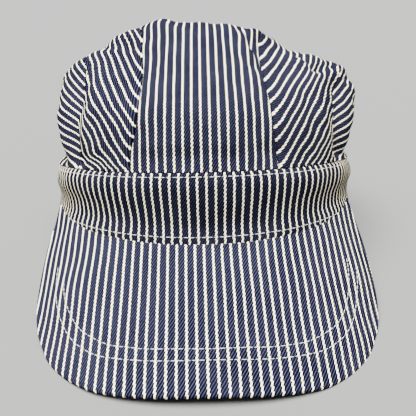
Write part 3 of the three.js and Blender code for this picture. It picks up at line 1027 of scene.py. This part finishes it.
    def strip(self) -> ClothGrid:
        """Returns the strip that runs from the band over the top to the band at the back."""
        start, end = (turn_of(self.panel_seam(Side.RIGHT, place)) for place in (0.0, PANEL_END))
        return self.panel(
            "crown_center_panel",
            patch(lambda u: self.rim(mix(-start, start, u)),
                  lambda u: self.rim(mix(2 * math.pi - end, end, u)),
                  lambda v: self.panel_seam(Side.LEFT, v * PANEL_END),
                  lambda v: self.panel_seam(Side.RIGHT, v * PANEL_END)),
            self.strip_cells, self.strip_grain, Hold.GATHERED, ends_at_band=True)

    def front_gore(self, side: Side) -> ClothGrid:
        """Cuts the three-cornered piece beside the strip at the front.

        Args:
            side: Which of the two.

        Returns:
            The gore's two faces and its grain.
        """
        start = turn_of(self.panel_seam(side, 0.0))
        end = turn_of(self.gore_seam(side, 0.0))
        tip = self.gore_seam(side, 1.0)
        edges = [lambda v: self.panel_seam(side, v * GORE_TIP), lambda v: self.gore_seam(side, v)]
        if side is Side.LEFT:
            start, end = end, start
            edges.reverse()
        return self.panel(
            f"crown_front_{side.name.lower()}",
            patch(lambda u: self.rim(mix(start, end, u)), lambda u: tip + 0 * u[..., None], *edges),
            self.front_cells, lambda spots: self.front_grain(side, spots), Hold.GATHERED, tip=True)

    def rear_gore(self, side: Side) -> ClothGrid:
        """Cuts the large piece behind an outer seam, round to the strip's seam at the back.

        Args:
            side: Which of the two.

        Returns:
            The gore's two faces and its grain.
        """
        start = turn_of(self.gore_seam(side, 0.0))
        end = turn_of(self.panel_seam(side, PANEL_END))
        edges = [lambda v: self.gore_seam(side, v),
                 lambda v: self.panel_seam(side, mix(PANEL_END, GORE_SHOULDER, v))]
        top = [GORE_TIP, GORE_SHOULDER]
        if side is Side.LEFT:
            start, end = end, start
            edges.reverse()
            top.reverse()
        return self.panel(
            f"crown_rear_{side.name.lower()}",
            patch(lambda u: self.rim(mix(start, end, u)),
                  lambda u: self.panel_seam(side, mix(top[0], top[1], u)), *edges),
            self.rear_cells, lambda spots: self.rear_grain(side, spots), Hold.GATHERED)

    def grids(self) -> list[ClothGrid]:
        """Returns the crown's five pieces."""
        gores = [make(side) for make in (self.front_gore, self.rear_gore) for side in Side]
        return [self.strip(), *gores]


def course_across(rows: np.ndarray, place: np.ndarray) -> np.ndarray:
    """Follows each row of values on a rounded course along its last axis.

    Args:
        rows: Rows of values.
        place: One place in each row, counted in values.

    Returns:
        The value at each place.
    """
    last = rows.shape[-1] - 1
    index = np.minimum(np.floor(place).astype(int), last - 1)
    picks = [np.clip(index + step, 0, last)[..., None] for step in (-1, 0, 1, 2)]
    values = [np.take_along_axis(rows, pick, -1)[..., 0] for pick in picks]
    return hermite(values, place - index)


def turn_of(spot: np.ndarray) -> float:
    """Returns the turn at which a map place lies."""
    return float(np.arctan2(spot[0], -spot[1]))


def patch(low: Places, high: Places, first: Places, last: Places) -> Patch:
    """Spans a patch of the map between four edges.

    Args:
        low: The edge on the band, by shares across.
        high: The edge above it, by shares across.
        first: The edge at share 0 across, by shares along.
        last: The edge at share 1 across, by shares along.

    Returns:
        A function that gives map places from shares across and along.
    """
    zero, one = np.zeros(1), np.ones(1)

    def place(u: np.ndarray, v: np.ndarray) -> np.ndarray:
        """Spans the patch.

        Args:
            u: Shares across.
            v: Shares along.

        Returns:
            The map places.
        """
        s, t = u[..., None], v[..., None]
        corners = mix(mix(low(zero)[0], low(one)[0], s), mix(high(zero)[0], high(one)[0], s), t)
        return mix(low(u), high(u), t) + mix(first(v), last(v), s) - corners

    return place


@dataclass
class Headband:
    """The tall band, a closed ring whose lower edge dips at the front.

    Attributes:
        stripe_offset: How far the stripes lie off the front's middle.
        upper_row: How far below the upper edge the upper row of stitches runs.
        lower_row: How far over the lower edge the lower row runs at the sides.
        joint_share: How much of the edge's dip the lower row follows.
        seam_gap: How far below the crown the upper edge ends.
        lower_margin: The share of the height over which the wrinkles die away at the lower edge.
        upper_margin: The same at the upper edge.
    """

    head: HeadOpening
    height: float = 27 * MM
    front_dip: float = 8 * MM
    cloth: float = 2.0 * MM
    stripe_offset: float = 1.5 * MM
    wrinkle: float = 0.14 * MM
    upper_row: float = 1.8 * MM
    lower_row: float = 2.4 * MM
    joint_share: float = 0.6
    seam_gap: float = 0.3 * MM
    lower_margin: float = 0.15
    upper_margin: float = 0.1
    columns: int = 481
    rows: int = 36
    spacing: EdgeSpacing = field(default_factory=lambda: EdgeSpacing(1.0 * MM))

    def rim_height(self, points: np.ndarray) -> np.ndarray:
        """Returns the height of the band's lower edge, which sinks towards the front's middle."""
        share = np.clip(np.abs(points[..., 0]) / self.head.half_width, 0, 1)
        return np.where(points[..., 1] < self.head.centre_y, -self.front_dip * (1 - share**2), 0.0)

    def stand(self, turn: np.ndarray, share: np.ndarray) -> np.ndarray:
        """Works out how far the cloth stands out from the head opening.

        Args:
            turn: Turns round the head.
            share: Shares of the way from the lower edge to the upper one.

        Returns:
            The distances.
        """
        table = np.array(BAND_PROFILE)
        columns = course(table[:, 1:], place_of(table[:, 0], share))
        heading = np.abs(turn) / math.pi
        index = np.searchsorted(BAND_HEADINGS, heading, side="right") - 1
        index = np.clip(index, 0, len(BAND_HEADINGS) - 2)
        low = np.array(BAND_HEADINGS)[index]
        high = np.array(BAND_HEADINGS)[index + 1]
        blend = smooth((heading - low) / (high - low))
        near = np.take_along_axis(columns, index[..., None], -1)[..., 0]
        far = np.take_along_axis(columns, index[..., None] + 1, -1)[..., 0]
        return mix(near, far, blend) * self.height

    def face(self, turn: np.ndarray, share: np.ndarray, depth: np.ndarray) -> np.ndarray:
        """Works out points of the band.

        Args:
            turn: Turns round the head.
            share: Shares of the way from the lower edge to the upper one.
            depth: How deep below the outer face.

        Returns:
            The points.
        """
        head = self.head.point(turn)
        low = self.rim_height(head)
        z = mix(low, self.height - self.seam_gap, share)
        spots = np.stack([head[..., 0], head[..., 1], z], -1)
        fade = smooth(share / self.lower_margin) * smooth((1 - share) / self.upper_margin)
        fine = relief_of(spots, BAND_RELIEF) * fade * self.wrinkle
        out = self.stand(turn, share) + fine - depth
        flat = head + self.head.normal(turn) * out[..., None]
        return np.stack([flat[..., 0], flat[..., 1], z], -1)

    def grid(self) -> ClothGrid:
        """Returns the band's two faces and its grain."""
        around = np.linspace(-math.pi, math.pi, self.columns)
        arc = self.head.arc(around)
        around[-1] = -math.pi
        tall = self.height - self.rim_height(self.head.point(around))
        share = self.spacing.shares(tall, self.rows).T
        turn = np.broadcast_to(around, share.shape)
        depth = self.spacing.depth(np.minimum(share, 1 - share) * tall)
        rise = mix(self.rim_height(self.head.point(turn)), self.height, share)
        grain = pair(arc - self.stripe_offset, rise)
        size = (float(np.ptp(arc)), float(tall.max()))
        outer = self.face(turn, share, depth)
        inner = self.face(turn, share, self.cloth - depth)
        return ClothGrid("headband", outer, inner, grain, size, Hold.STRETCHED, ring=True)


@dataclass
class Visor:
    """The stiff sewn visor, bent round the front of the head.

    Attributes:
        root_y: Where the pattern's root line stands, in the middle.
        root_z: The height of the same place.
        drop: How steeply the visor falls.
        root_share: The half width of the root, as a share of the whole half width.
        clearance: How far the root stays clear of the band.
        root_sharpness: How many times quicker the edge is rounded at the root than at the outline.
        bend: How the slope across the visor grows with the first, third and fifth power of the way out.
        side_step: How far the visor sits to the right.
        lean: How far it leans.
        edge_run: The outline's length on one side, as a share of the half width.
        flat_reach: The pattern's length with its two horns, as a share of the length in the middle.
        even_margin: How wide the outermost strip is in which the slight waves die away.
        halvings: How often the search for the root is narrowed.
    """

    head: HeadOpening
    length: float = 68.8 * MM
    half_width: float = 86.8 * MM
    cloth: float = 2.6 * MM
    root_y: float = -97.2 * MM
    root_z: float = -4.2 * MM
    drop: float = math.radians(41.35)
    root_share: float = 0.95
    clearance: float = 0.3 * MM
    root_sharpness: float = 4.0
    bend: tuple[float, float, float] = (0.45, 0.71, -0.475)
    side_step: float = 0.6 * MM
    lean: float = math.radians(0.85)
    stripe_offset: float = -0.9 * MM
    wrinkle: float = 0.22 * MM
    even_margin: float = 8 * MM
    slices: int = 24
    probe: float = 0.1 * MM
    halvings: int = 30
    edge_run: float = 1.1
    flat_reach: float = 1.4
    cells: tuple[int, int] = (240, 84)
    spacing: EdgeSpacing = field(default_factory=lambda: EdgeSpacing(1.3 * MM, 0.0, 5))

    def point(self, across: np.ndarray, reach: np.ndarray) -> np.ndarray:
        """Bends the flat pattern.

        Args:
            across: Lengths across from the pattern's middle.
            reach: Lengths out from the root.

        Returns:
            The points of the upper face.
        """
        slices = (np.arange(self.slices) + 0.5) / self.slices
        share = (across / self.half_width)[..., None] * slices
        slope = self.bend[0] * share + self.bend[1] * share**3 + self.bend[2] * share**5
        x = np.cos(slope).mean(-1) * across
        sag = np.sin(slope).mean(-1) * across
        y = self.root_y - reach * math.cos(self.drop) + sag * math.sin(self.drop)
        z = self.root_z - reach * math.sin(self.drop) - sag * math.cos(self.drop)
        return np.stack([x, y, z], -1)

    def face(self, places: np.ndarray, depth: np.ndarray) -> np.ndarray:
        """Works out points of the bent visor.

        Args:
            places: Places on the flat pattern.
            depth: How deep below the upper face.

        Returns:
            The points.
        """
        across, reach = places[..., 0], places[..., 1]
        step = self.probe
        right = self.point(across + step, reach) - self.point(across - step, reach)
        forward = self.point(across, reach + step) - self.point(across, reach - step)
        normal = unit(np.cross(forward, right))
        return self.point(across, reach) - normal * depth[..., None]

    def skewed(self, places: np.ndarray) -> np.ndarray:
        """Returns flat places moved to where the visor sits, a little to the right and leaning."""
        across = places[..., 0] + self.side_step + math.tan(self.lean) * places[..., 1]
        return pair(across, places[..., 1])

    def relief_depth(self, places: np.ndarray) -> np.ndarray:
        """Returns how deep the visor's slight waves lie below its even face at flat places."""
        return relief_of(places, VISOR_RELIEF) * self.wrinkle

    def root_reach(self, across: np.ndarray, depth: np.ndarray) -> np.ndarray:
        """Finds where the visor's root clears the headband.

        Args:
            across: Lengths across the flat pattern.
            depth: How deep below the upper face.

        Returns:
            The reach at which the face at that depth just clears the band.
        """
        near = np.full(across.shape, -self.length)
        far = np.full(across.shape, self.length / 2)
        for _ in range(self.halvings):
            middle = (near + far) / 2
            points = self.face(self.skewed(pair(across, middle)), depth)
            clear = self.head.outside(points) > self.clearance
            far = np.where(clear, middle, far)
            near = np.where(clear, near, middle)
        return far

    def places(self, side: np.ndarray, share: np.ndarray, depth: np.ndarray) -> np.ndarray:
        """Lays lines on the flat pattern from its outline to its root.

        Args:
            side: Which line, from -1 on the left to 1 on the right.
            share: Shares of the way from the outline to the root.
            depth: How deep below the upper face.

        Returns:
            Places on the flat pattern.
        """
        edge = course(np.array(VISOR_OUTLINE), np.abs(side) * (len(VISOR_OUTLINE) - 1))
        across = np.sign(side) * edge[..., 0] * self.half_width
        outline = pair(across, edge[..., 1] * self.length)
        root = side * self.root_share * self.half_width
        return mix(outline, pair(root, self.root_reach(root, depth)), share[..., None])

    def grid(self) -> ClothGrid:
        """Returns the visor's two faces and its grain."""
        across, along = self.cells
        sides = mix(-1, 1, self.spacing.shares(2 * self.edge_run * self.half_width, across))
        reach = self.spacing.shares(np.full(sides.shape, self.length), along).T
        side = np.broadcast_to(sides, reach.shape)
        from_sides = (1 - np.abs(side)) * self.edge_run * self.half_width
        from_ends = np.minimum(reach, (1 - reach) * self.root_sharpness) * self.length
        depth = self.spacing.depth(np.minimum(from_sides, from_ends))
        faces = []
        for inside in (depth, self.cloth - depth):
            places = self.places(side, reach, inside)
            relief = self.relief_depth(places) * smooth(from_ends / self.even_margin)
            faces.append(self.face(self.skewed(places), inside + relief))
        grain = self.places(side, reach, depth) * [1, -1] - [self.stripe_offset, 0]
        size = (2 * self.half_width, self.flat_reach * self.length)
        return ClothGrid("visor", faces[0], faces[1], grain, size, Hold.STRETCHED)


@dataclass(frozen=True)
class HickoryCloth:
    """The striped twill: cream stripes on navy, with a little of the weft showing, and painted shade in the
    twill's furrows on the cream stripes.

    Ranges are given as start and end of the value read, then the low and high share that comes of it.
    """

    name: str
    navy: tuple[float, float, float]
    cream: tuple[float, float, float]
    # How much of the weft shows. Its differences between the copies of the cloth are painted light and
    # shade.
    fleck: tuple[float, float, float]
    fleck_and_painted_light_share: float
    pitch: float = 4.0 * MM
    stripe: float = 0.75 * MM
    wear_range: tuple[float, float, float, float] = (0.35, 0.75, 0.0, 0.07)
    # Painted shade: where the twill's relief is low, the cream is darkened as if shade fell in the furrows
    # between its threads.
    furrow_shade_range: tuple[float, float, float, float] = (0.35, 0.85, 0.4, 1.0)
    relief: float = 0.2 * MM
    roughness: float = 0.88
    specular: float = 0.0


NAVY = (0.0011, 0.0012, 0.0036)
CREAM = (0.9, 0.82, 0.58)
WEFT = (0.034, 0.035, 0.062)
# The three copies of one cloth differ only in how much weft shows, and these differences are painted light
# and shade: least on the band, which lies in shade, most on the visor, which faces the light.
CROWN_CLOTH = HickoryCloth("crown_cloth", NAVY, CREAM, WEFT, 0.6)
BAND_CLOTH = HickoryCloth("band_cloth", NAVY, CREAM, WEFT, 0.45)
VISOR_CLOTH = HickoryCloth("visor_cloth", NAVY, CREAM, WEFT, 0.75)


@dataclass(frozen=True)
class Thread:
    """The pale sewing thread, and the size and shape of its stitches."""

    name: str = "pale_thread"
    colour: tuple[float, float, float] = (0.42, 0.41, 0.38)
    roughness: float = 0.7
    radius: float = 0.12 * MM
    stitch: float = 2.2 * MM
    gap: float = 0.5 * MM
    bluntness: float = 0.7
    raised: float = 0.35
    segments: int = 8
    rings: int = 6


class Wiring:
    """Adds nodes to a node tree and joins them."""

    def __init__(self, tree: bpy.types.NodeTree) -> None:
        """Keeps the tree that nodes are added to."""
        self.tree = tree

    def node(self, kind: str, **sockets: object) -> bpy.types.Node:
        """Adds a node.

        Args:
            kind: The node's type.
            sockets: Values or outputs for its inputs, by name with underscores for spaces.

        Returns:
            The new node.
        """
        node = self.tree.nodes.new(kind)
        for name, value in sockets.items():
            self.feed(node.inputs[name.replace("_", " ")], value)
        return node

    def feed(self, socket: bpy.types.NodeSocket, value: object) -> None:
        """Gives an input a value, or joins an output to it."""
        if isinstance(value, bpy.types.NodeSocket):
            self.tree.links.new(value, socket)
        else:
            socket.default_value = value

    def math(self, operation: str, *values: object) -> bpy.types.NodeSocket:
        """Adds a maths node.

        Args:
            operation: What it works out.
            values: Values or outputs for its inputs.

        Returns:
            Its output.
        """
        node = self.tree.nodes.new("ShaderNodeMath")
        node.operation = operation
        for socket, value in zip(node.inputs, values):
            self.feed(socket, value)
        return node.outputs[0]

    def ramp(self, value: object, start: float, end: float, low: float = 0.0,
             high: float = 1.0) -> bpy.types.NodeSocket:
        """Adds a smooth map range.

        Args:
            value: The output that it reads.
            start: The value that gives low.
            end: The value that gives high.
            low: The lower result.
            high: The higher result.

        Returns:
            Its output.
        """
        node = self.tree.nodes.new("ShaderNodeMapRange")
        node.interpolation_type = "SMOOTHSTEP"
        for socket, given in zip(node.inputs, (value, start, end, low, high)):
            self.feed(socket, given)
        return node.outputs[0]

    def blend(self, share: object, first: object, second: object,
              blending: Blending = Blending.MIX) -> bpy.types.NodeSocket:
        """Adds a mix of two colours.

        Args:
            share: How much of the second colour.
            first: The first colour, or an output for it.
            second: The second colour, or an output for it.
            blending: How they are mixed.

        Returns:
            Its output.
        """
        node = self.tree.nodes.new("ShaderNodeMix")
        node.data_type = "RGBA"
        node.blend_type = blending.value
        for index, given in zip(MIX_INPUTS, (share, first, second)):
            self.feed(node.inputs[index], given)
        return node.outputs[MIX_OUTPUT]

    def noise(self, vector: object, scale: float, detail: float = 2.0) -> bpy.types.NodeSocket:
        """Returns the value of a noise texture."""
        node = self.node("ShaderNodeTexNoise", Vector=vector, Scale=scale, Detail=detail)
        return node.outputs[0]


@dataclass
class WeaveGroup:
    """The node group that draws the hickory stripe and its twill from the grain map.

    Lengths are the cloth's own. Each scale is that of a noise over the grain map, in turns a metre.
    """

    name: str = "hickory_twill"
    twill_across: float = 1.3 * MM
    twill_along: float = 1.95 * MM
    wobble: float = 0.35 * MM
    wobble_scale: float = 260.0
    jag: float = 0.42 * MM
    edge: float = 0.12 * MM
    grit_scale: tuple[float, float, float] = (2600.0, 700.0, 1.0)
    fleck_on_ridge: tuple[float, float] = (0.6, 0.9)
    fleck_in_grit: tuple[float, float] = (0.2, 0.5)
    stripe_lift: float = 0.35
    ridge_lift: float = 0.65
    wear_scale: float = 55.0
    wear_detail: float = 3.0

    def __post_init__(self) -> None:
        """Makes the group."""
        self.tree = bpy.data.node_groups.new(self.name, "ShaderNodeTree")
        for label, kind in (("Grain", "NodeSocketVector"), ("Pitch", "NodeSocketFloat"),
                            ("Stripe", "NodeSocketFloat")):
            self.tree.interface.new_socket(label, in_out="INPUT", socket_type=kind)
        for label in ("Cream", "Fleck", "Height", "Wear"):
            self.tree.interface.new_socket(label, in_out="OUTPUT", socket_type="NodeSocketFloat")
        self.draw(Wiring(self.tree))

    def draw(self, wiring: Wiring) -> None:
        """Draws the stripe's mask, the weft's flecks, the relief and the wear.

        Args:
            wiring: The group's own wiring.
        """
        given = wiring.node("NodeGroupInput")
        grain = given.outputs["Grain"]
        parts = wiring.node("ShaderNodeSeparateXYZ", Vector=grain)
        wobble = wiring.math("SUBTRACT", wiring.noise(grain, self.wobble_scale), 0.5)
        across = wiring.math("MULTIPLY_ADD", wobble, self.wobble, parts.outputs[0])
        turns = wiring.math("ADD", wiring.math("DIVIDE", across, given.outputs["Pitch"]), 0.5)
        offset = wiring.math("ABSOLUTE", wiring.math("SUBTRACT", wiring.math("FRACT", turns), 0.5))
        distance = wiring.math("MULTIPLY", offset, given.outputs["Pitch"])
        ridge = self.ridges(wiring, parts)
        half = wiring.math("MULTIPLY", given.outputs["Stripe"], 0.5)
        jag = wiring.math("MULTIPLY", wiring.math("SUBTRACT", ridge, 0.5), self.jag)
        margin = wiring.math("SUBTRACT", wiring.math("ADD", half, jag), distance)
        cream = wiring.ramp(margin, -self.edge, self.edge)
        stretched = wiring.node("ShaderNodeVectorMath", Vector=grain)
        stretched.operation = "MULTIPLY"
        stretched.inputs[1].default_value = self.grit_scale
        grit = wiring.noise(stretched.outputs[0], 1.0, 1.0)
        on_ridge = wiring.ramp(ridge, *self.fleck_on_ridge)
        fleck = wiring.math("MULTIPLY", on_ridge, wiring.ramp(grit, *self.fleck_in_grit))
        ridge_height = wiring.math("MULTIPLY", ridge, self.ridge_lift)
        lift = wiring.math("MULTIPLY_ADD", cream, self.stripe_lift, ridge_height)
        wear = wiring.noise(grain, self.wear_scale, self.wear_detail)
        wiring.node("NodeGroupOutput", Cream=cream, Fleck=fleck, Height=lift, Wear=wear)

    def ridges(self, wiring: Wiring, parts: bpy.types.Node) -> bpy.types.NodeSocket:
        """Draws the twill's diagonal ridges.

        Args:
            wiring: The group's own wiring.
            parts: The node that gives the grain's two lengths.

        Returns:
            An output that is 0 in the furrows and 1 on the crests.
        """
        across = wiring.math("DIVIDE", parts.outputs[0], self.twill_across)
        along = wiring.math("DIVIDE", parts.outputs[1], self.twill_along)
        phase = wiring.math("FRACT", wiring.math("SUBTRACT", across, along))
        fall = wiring.math("ABSOLUTE", wiring.math("MULTIPLY_ADD", phase, 2.0, -1.0))
        return wiring.math("SUBTRACT", 1.0, fall)


@dataclass
class Dye:
    """Makes the cloth and thread materials."""

    weave: WeaveGroup

    def cloth(self, finish: HickoryCloth) -> bpy.types.Material:
        """Makes the material of one cloth.

        Args:
            finish: The cloth's colours and sizes.

        Returns:
            The material.
        """
        material = bpy.data.materials.new(finish.name)
        material.use_nodes = True
        tree = material.node_tree
        tree.nodes.clear()
        wiring = Wiring(tree)
        grain = wiring.node("ShaderNodeUVMap")
        grain.uv_map = "grain"
        weave = tree.nodes.new("ShaderNodeGroup")
        weave.node_tree = self.weave.tree
        wiring.feed(weave.inputs["Grain"], grain.outputs[0])
        wiring.feed(weave.inputs["Pitch"], finish.pitch)
        wiring.feed(weave.inputs["Stripe"], finish.stripe)
        height = weave.outputs["Height"]
        # The weft's share, which also paints light and shade on each piece.
        flecks = wiring.math("MULTIPLY", weave.outputs["Fleck"], finish.fleck_and_painted_light_share)
        navy = wiring.blend(flecks, (*finish.navy, 1), (*finish.fleck, 1))
        wear = wiring.ramp(weave.outputs["Wear"], *finish.wear_range)
        faded = wiring.blend(wear, navy, (*finish.fleck, 1))
        # Painted shade: the cream is multiplied by a darkening that follows the twill's relief, so shade is
        # painted into the furrows.
        shade = wiring.ramp(height, *finish.furrow_shade_range)
        furrow_shaded_cream = wiring.blend(1.0, (*finish.cream, 1), shade, Blending.MULTIPLY)
        colour = wiring.blend(weave.outputs["Cream"], faded, furrow_shaded_cream)
        bump = wiring.node("ShaderNodeBump", Strength=1.0, Distance=finish.relief, Height=height)
        shader = wiring.node("ShaderNodeBsdfPrincipled", Base_Color=colour, Roughness=finish.roughness,
                             Specular_IOR_Level=finish.specular, Normal=bump.outputs[0])
        wiring.node("ShaderNodeOutputMaterial", Surface=shader.outputs[0])
        return material

    def thread(self, finish: Thread) -> bpy.types.Material:
        """Makes the material of the sewing thread.

        Args:
            finish: The thread's colour and sizes.

        Returns:
            The material.
        """
        return plain_material(finish.name, finish.colour, finish.roughness)


def plain_material(name: str, colour: tuple[float, float, float], roughness: float) -> bpy.types.Material:
    """Makes a material of one colour.

    Args:
        name: Its name.
        colour: Its colour.
        roughness: Its roughness.

    Returns:
        The material.
    """
    material = bpy.data.materials.new(name)
    material.use_nodes = True
    shader = material.node_tree.nodes["Principled BSDF"]
    shader.inputs["Base Color"].default_value = (*colour, 1)
    shader.inputs["Roughness"].default_value = roughness
    return material


def sampled(run: np.ndarray, rows: np.ndarray, spots: np.ndarray) -> np.ndarray:
    """Returns the rows of a table at running lengths along it, between its own rows."""
    return np.stack([np.interp(spots, run, rows[:, axis]) for axis in range(rows.shape[1])], -1)


@dataclass
class Stitching:
    """The rows of stitches on the headband and the visor."""

    pose: RestPose
    thread: Thread
    material: bpy.types.Material
    band_samples: int = 1601
    visor_samples: int = 300

    def template(self) -> tuple[np.ndarray, list[list[int]]]:
        """Shapes one stitch from a sphere.

        Returns:
            Its points, along x and bulging towards z, and its faces.
        """
        bpy.ops.object.select_all(action="DESELECT")
        bpy.ops.mesh.primitive_uv_sphere_add(
            segments=self.thread.segments, ring_count=self.thread.rings, radius=1.0)
        ball = bpy.context.active_object
        points = np.array([vertex.co for vertex in ball.data.vertices])
        faces = [list(face.vertices) for face in ball.data.polygons]
        bpy.data.objects.remove(ball, do_unlink=True)
        # The operator lists the faces in another order on each run, so they are put in one fixed order.
        starts = [face.index(min(face)) for face in faces]
        faces = sorted(face[start:] + face[:start] for face, start in zip(faces, starts))
        blunt = np.abs(points[:, 2]) ** self.thread.bluntness
        along = np.sign(points[:, 2]) * blunt * self.thread.stitch / 2
        round_part = points[:, :2] * self.thread.radius
        return np.stack([along, round_part[:, 0], round_part[:, 1]], -1), faces

    def row(self, name: str, points: np.ndarray, facing: np.ndarray) -> bpy.types.Object:
        """Sews one row.

        Args:
            name: The row's name.
            points: A fine line of points on the cloth.
            facing: The directions that the cloth faces there.

        Returns:
            The row's stitches as one object.
        """
        shape, faces = self.template()
        run = steps_between(points, 0)
        count = int(run[-1] / (self.thread.stitch + self.thread.gap))
        spots = (np.arange(count) + 0.5) * run[-1] / count
        at = sampled(run, points, spots)
        forward = unit(sampled(run, points, spots + self.thread.stitch / 3) - at)
        beside = unit(np.cross(sampled(run, facing, spots), forward))
        out = np.cross(forward, beside)
        frames = np.stack([forward, beside, out], 1)
        stitches = at[:, None] + out[:, None] * self.thread.radius * self.thread.raised + shape @ frames
        starts = [number * len(shape) for number in range(count)]
        joined = [[start + index for index in face] for start in starts for face in faces]
        mesh = bpy.data.meshes.new(name)
        mesh.from_pydata(self.pose.placed(stitches.reshape(-1, 3)), [], joined)
        mesh.shade_smooth()
        mesh.materials.append(self.material)
        row = bpy.data.objects.new(name, mesh)
        bpy.context.scene.collection.objects.link(row)
        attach(row, BODY)
        LOG.info("%s: %d stitches", name, count)
        return row

    def sew_band(self, band: Headband) -> None:
        """Sews the rows along the band's upper and lower edges.

        Args:
            band: The band.
        """
        turn = np.linspace(-math.pi, math.pi, self.band_samples)
        facing = np.concatenate([band.head.normal(turn), np.zeros((len(turn), 1))], -1)
        low = band.rim_height(band.head.point(turn))
        tall = band.height - low
        upper = 1 - band.upper_row / tall
        lower = (band.lower_row - (1 - band.joint_share) * low) / tall
        self.row("thread_band_upper", band.face(turn, upper, 0 * turn), facing)
        self.row("thread_band_lower", band.face(turn, lower, 0 * turn), facing)

    def sew_visor(self, visor: Visor) -> None:
        """Sews the visor's two rows, each down from the band, round the front and up again.

        Args:
            visor: The visor.
        """
        for name, table in VISOR_ROWS.items():
            half = course(np.array(table), np.linspace(0, len(table) - 1, self.visor_samples))
            half = half * [visor.half_width, visor.length]
            places = np.concatenate([(half * [-1, 1])[::-1], half[1:]])
            flat = visor.skewed(places)
            points = visor.face(flat, visor.relief_depth(places))
            below = visor.face(flat, np.full(len(flat), visor.cloth))
            self.row(name, points, unit(visor.face(flat, np.zeros(len(flat))) - below))


@dataclass(frozen=True)
class Lamp:
    """A soft light. A sun's spread is its angle, and an area's is the length of its sides."""

    name: str
    kind: LampKind
    place: tuple[float, float, float]
    power: float
    spread: float


SKY_LIGHT = Lamp("sky_light", LampKind.SUN, (-0.2, -0.38, 1.9), 33.0, math.radians(50))
FRONT_LIGHT = Lamp("front_light", LampKind.AREA, (0.5, -1.5, 0.7), 1.5, 0.9)


@dataclass
class Studio:
    """The floor, which the strong light makes pale, the soft lights and the camera.

    Attributes:
        camera_place: Where the camera stands beside the upright cap.
        pitch: How far it looks down.
        roll: How far it is turned about its own axis.
        aim: The place that the lights look at.
    """

    pose: RestPose
    lens: float = 45.0
    sensor: float = 36.0
    near: float = 0.01
    camera_place: tuple[float, float, float] = (2 * MM, -324 * MM, 52 * MM)
    pitch: float = math.radians(10.3)
    roll: float = math.radians(1.3)
    aim: tuple[float, float, float] = (0.0, 0.0, 0.07)
    floor_size: float = 24.0
    floor_colour: tuple[float, float, float] = (0.078, 0.078, 0.076)
    floor_roughness: float = 0.9
    world_colour: tuple[float, float, float] = (0.97, 0.98, 1.0)
    world_power: float = 0.56

    def camera(self) -> None:
        """Sets the camera at the photo's angle to the cap."""
        data = bpy.data.cameras.new("camera")
        data.lens = self.lens
        data.sensor_width = self.sensor
        data.clip_start = self.near
        camera = bpy.data.objects.new("camera", data)
        bpy.context.scene.collection.objects.link(camera)
        ahead = np.array([0, math.cos(self.pitch), -math.sin(self.pitch)])
        above = np.array([0, math.sin(self.pitch), math.cos(self.pitch)])
        right = np.array([1.0, 0, 0])
        up = math.cos(self.roll) * above + math.sin(self.roll) * right
        side = math.cos(self.roll) * right - math.sin(self.roll) * above
        axes = self.pose.turned(np.stack([side, up, -ahead]))
        place = self.pose.placed(np.array(self.camera_place))
        camera.matrix_world = Matrix.Translation(Vector(place)) @ Matrix(axes.T.tolist()).to_4x4()
        bpy.context.scene.camera = camera

    def floor(self) -> None:
        """Lays the floor."""
        bpy.ops.mesh.primitive_plane_add(size=self.floor_size, location=(0, 0, 0))
        floor = bpy.context.active_object
        floor.name = "studio_floor"
        floor.data.materials.append(
            plain_material("studio_floor", self.floor_colour, self.floor_roughness))

    def light(self, lamp: Lamp) -> None:
        """Adds a soft light that looks at the cap.

        Args:
            lamp: Its kind, place and strength.
        """
        data = bpy.data.lights.new(lamp.name, lamp.kind.value)
        data.energy = lamp.power
        if lamp.kind is LampKind.SUN:
            data.angle = lamp.spread
        else:
            data.size = lamp.spread
        light = bpy.data.objects.new(lamp.name, data)
        bpy.context.scene.collection.objects.link(light)
        place = Vector(lamp.place)
        turn = (Vector(self.aim) - place).to_track_quat("-Z", "Y")
        light.matrix_world = Matrix.Translation(place) @ turn.to_matrix().to_4x4()

    def world(self) -> None:
        """Fills the surroundings with even pale light."""
        world = bpy.data.worlds.new("studio")
        bpy.context.scene.world = world
        world.use_nodes = True
        sky = world.node_tree.nodes["Background"]
        sky.inputs["Color"].default_value = (*self.world_colour, 1)
        sky.inputs["Strength"].default_value = self.world_power

    def build(self) -> None:
        """Builds the whole studio."""
        self.floor()
        self.light(SKY_LIGHT)
        self.light(FRONT_LIGHT)
        self.world()
        self.camera()


def mesh_area(mesh: bpy.types.Mesh) -> float:
    """Adds up a mesh.

    Args:
        mesh: The mesh.

    Returns:
        The area of all its faces.
    """
    areas = np.empty(len(mesh.polygons))
    mesh.polygons.foreach_get("area", areas)
    return float(areas.sum())


def finish_sheet(grid: ClothGrid, pose: RestPose, material: bpy.types.Material) -> bpy.types.Object:
    """Args:
        grid: The sheet.
        pose: Where the cap rests.
        material: What it is made of.

    Returns:
        The finished piece.
    """
    piece = grid.build(pose)
    piece.data.materials.append(material)
    area = mesh_area(piece.data) / 2
    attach(piece, BODY)
    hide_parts(grid.name)
    LOG.info("%s: %d faces, %.1f square cm", piece.name, len(piece.data.polygons), area * 1e4)
    return piece


def main() -> None:
    """Builds the cap and its studio, and reports each piece."""
    logging.basicConfig(level=logging.INFO, format="%(name)s: %(message)s")
    pose = RestPose()
    head = HeadOpening()
    dye = Dye(WeaveGroup())
    crown_cloth = dye.cloth(CROWN_CLOTH)
    for grid in Crown(head).grids():
        finish_sheet(grid, pose, crown_cloth)
    band = Headband(head)
    visor = Visor(head)
    finish_sheet(band.grid(), pose, dye.cloth(BAND_CLOTH))
    finish_sheet(visor.grid(), pose, dye.cloth(VISOR_CLOTH))
    thread = Thread()
    stitching = Stitching(pose, thread, dye.thread(thread))
    stitching.sew_band(band)
    stitching.sew_visor(visor)
    Studio(pose).build()


if __name__ == "__main__":
    main()
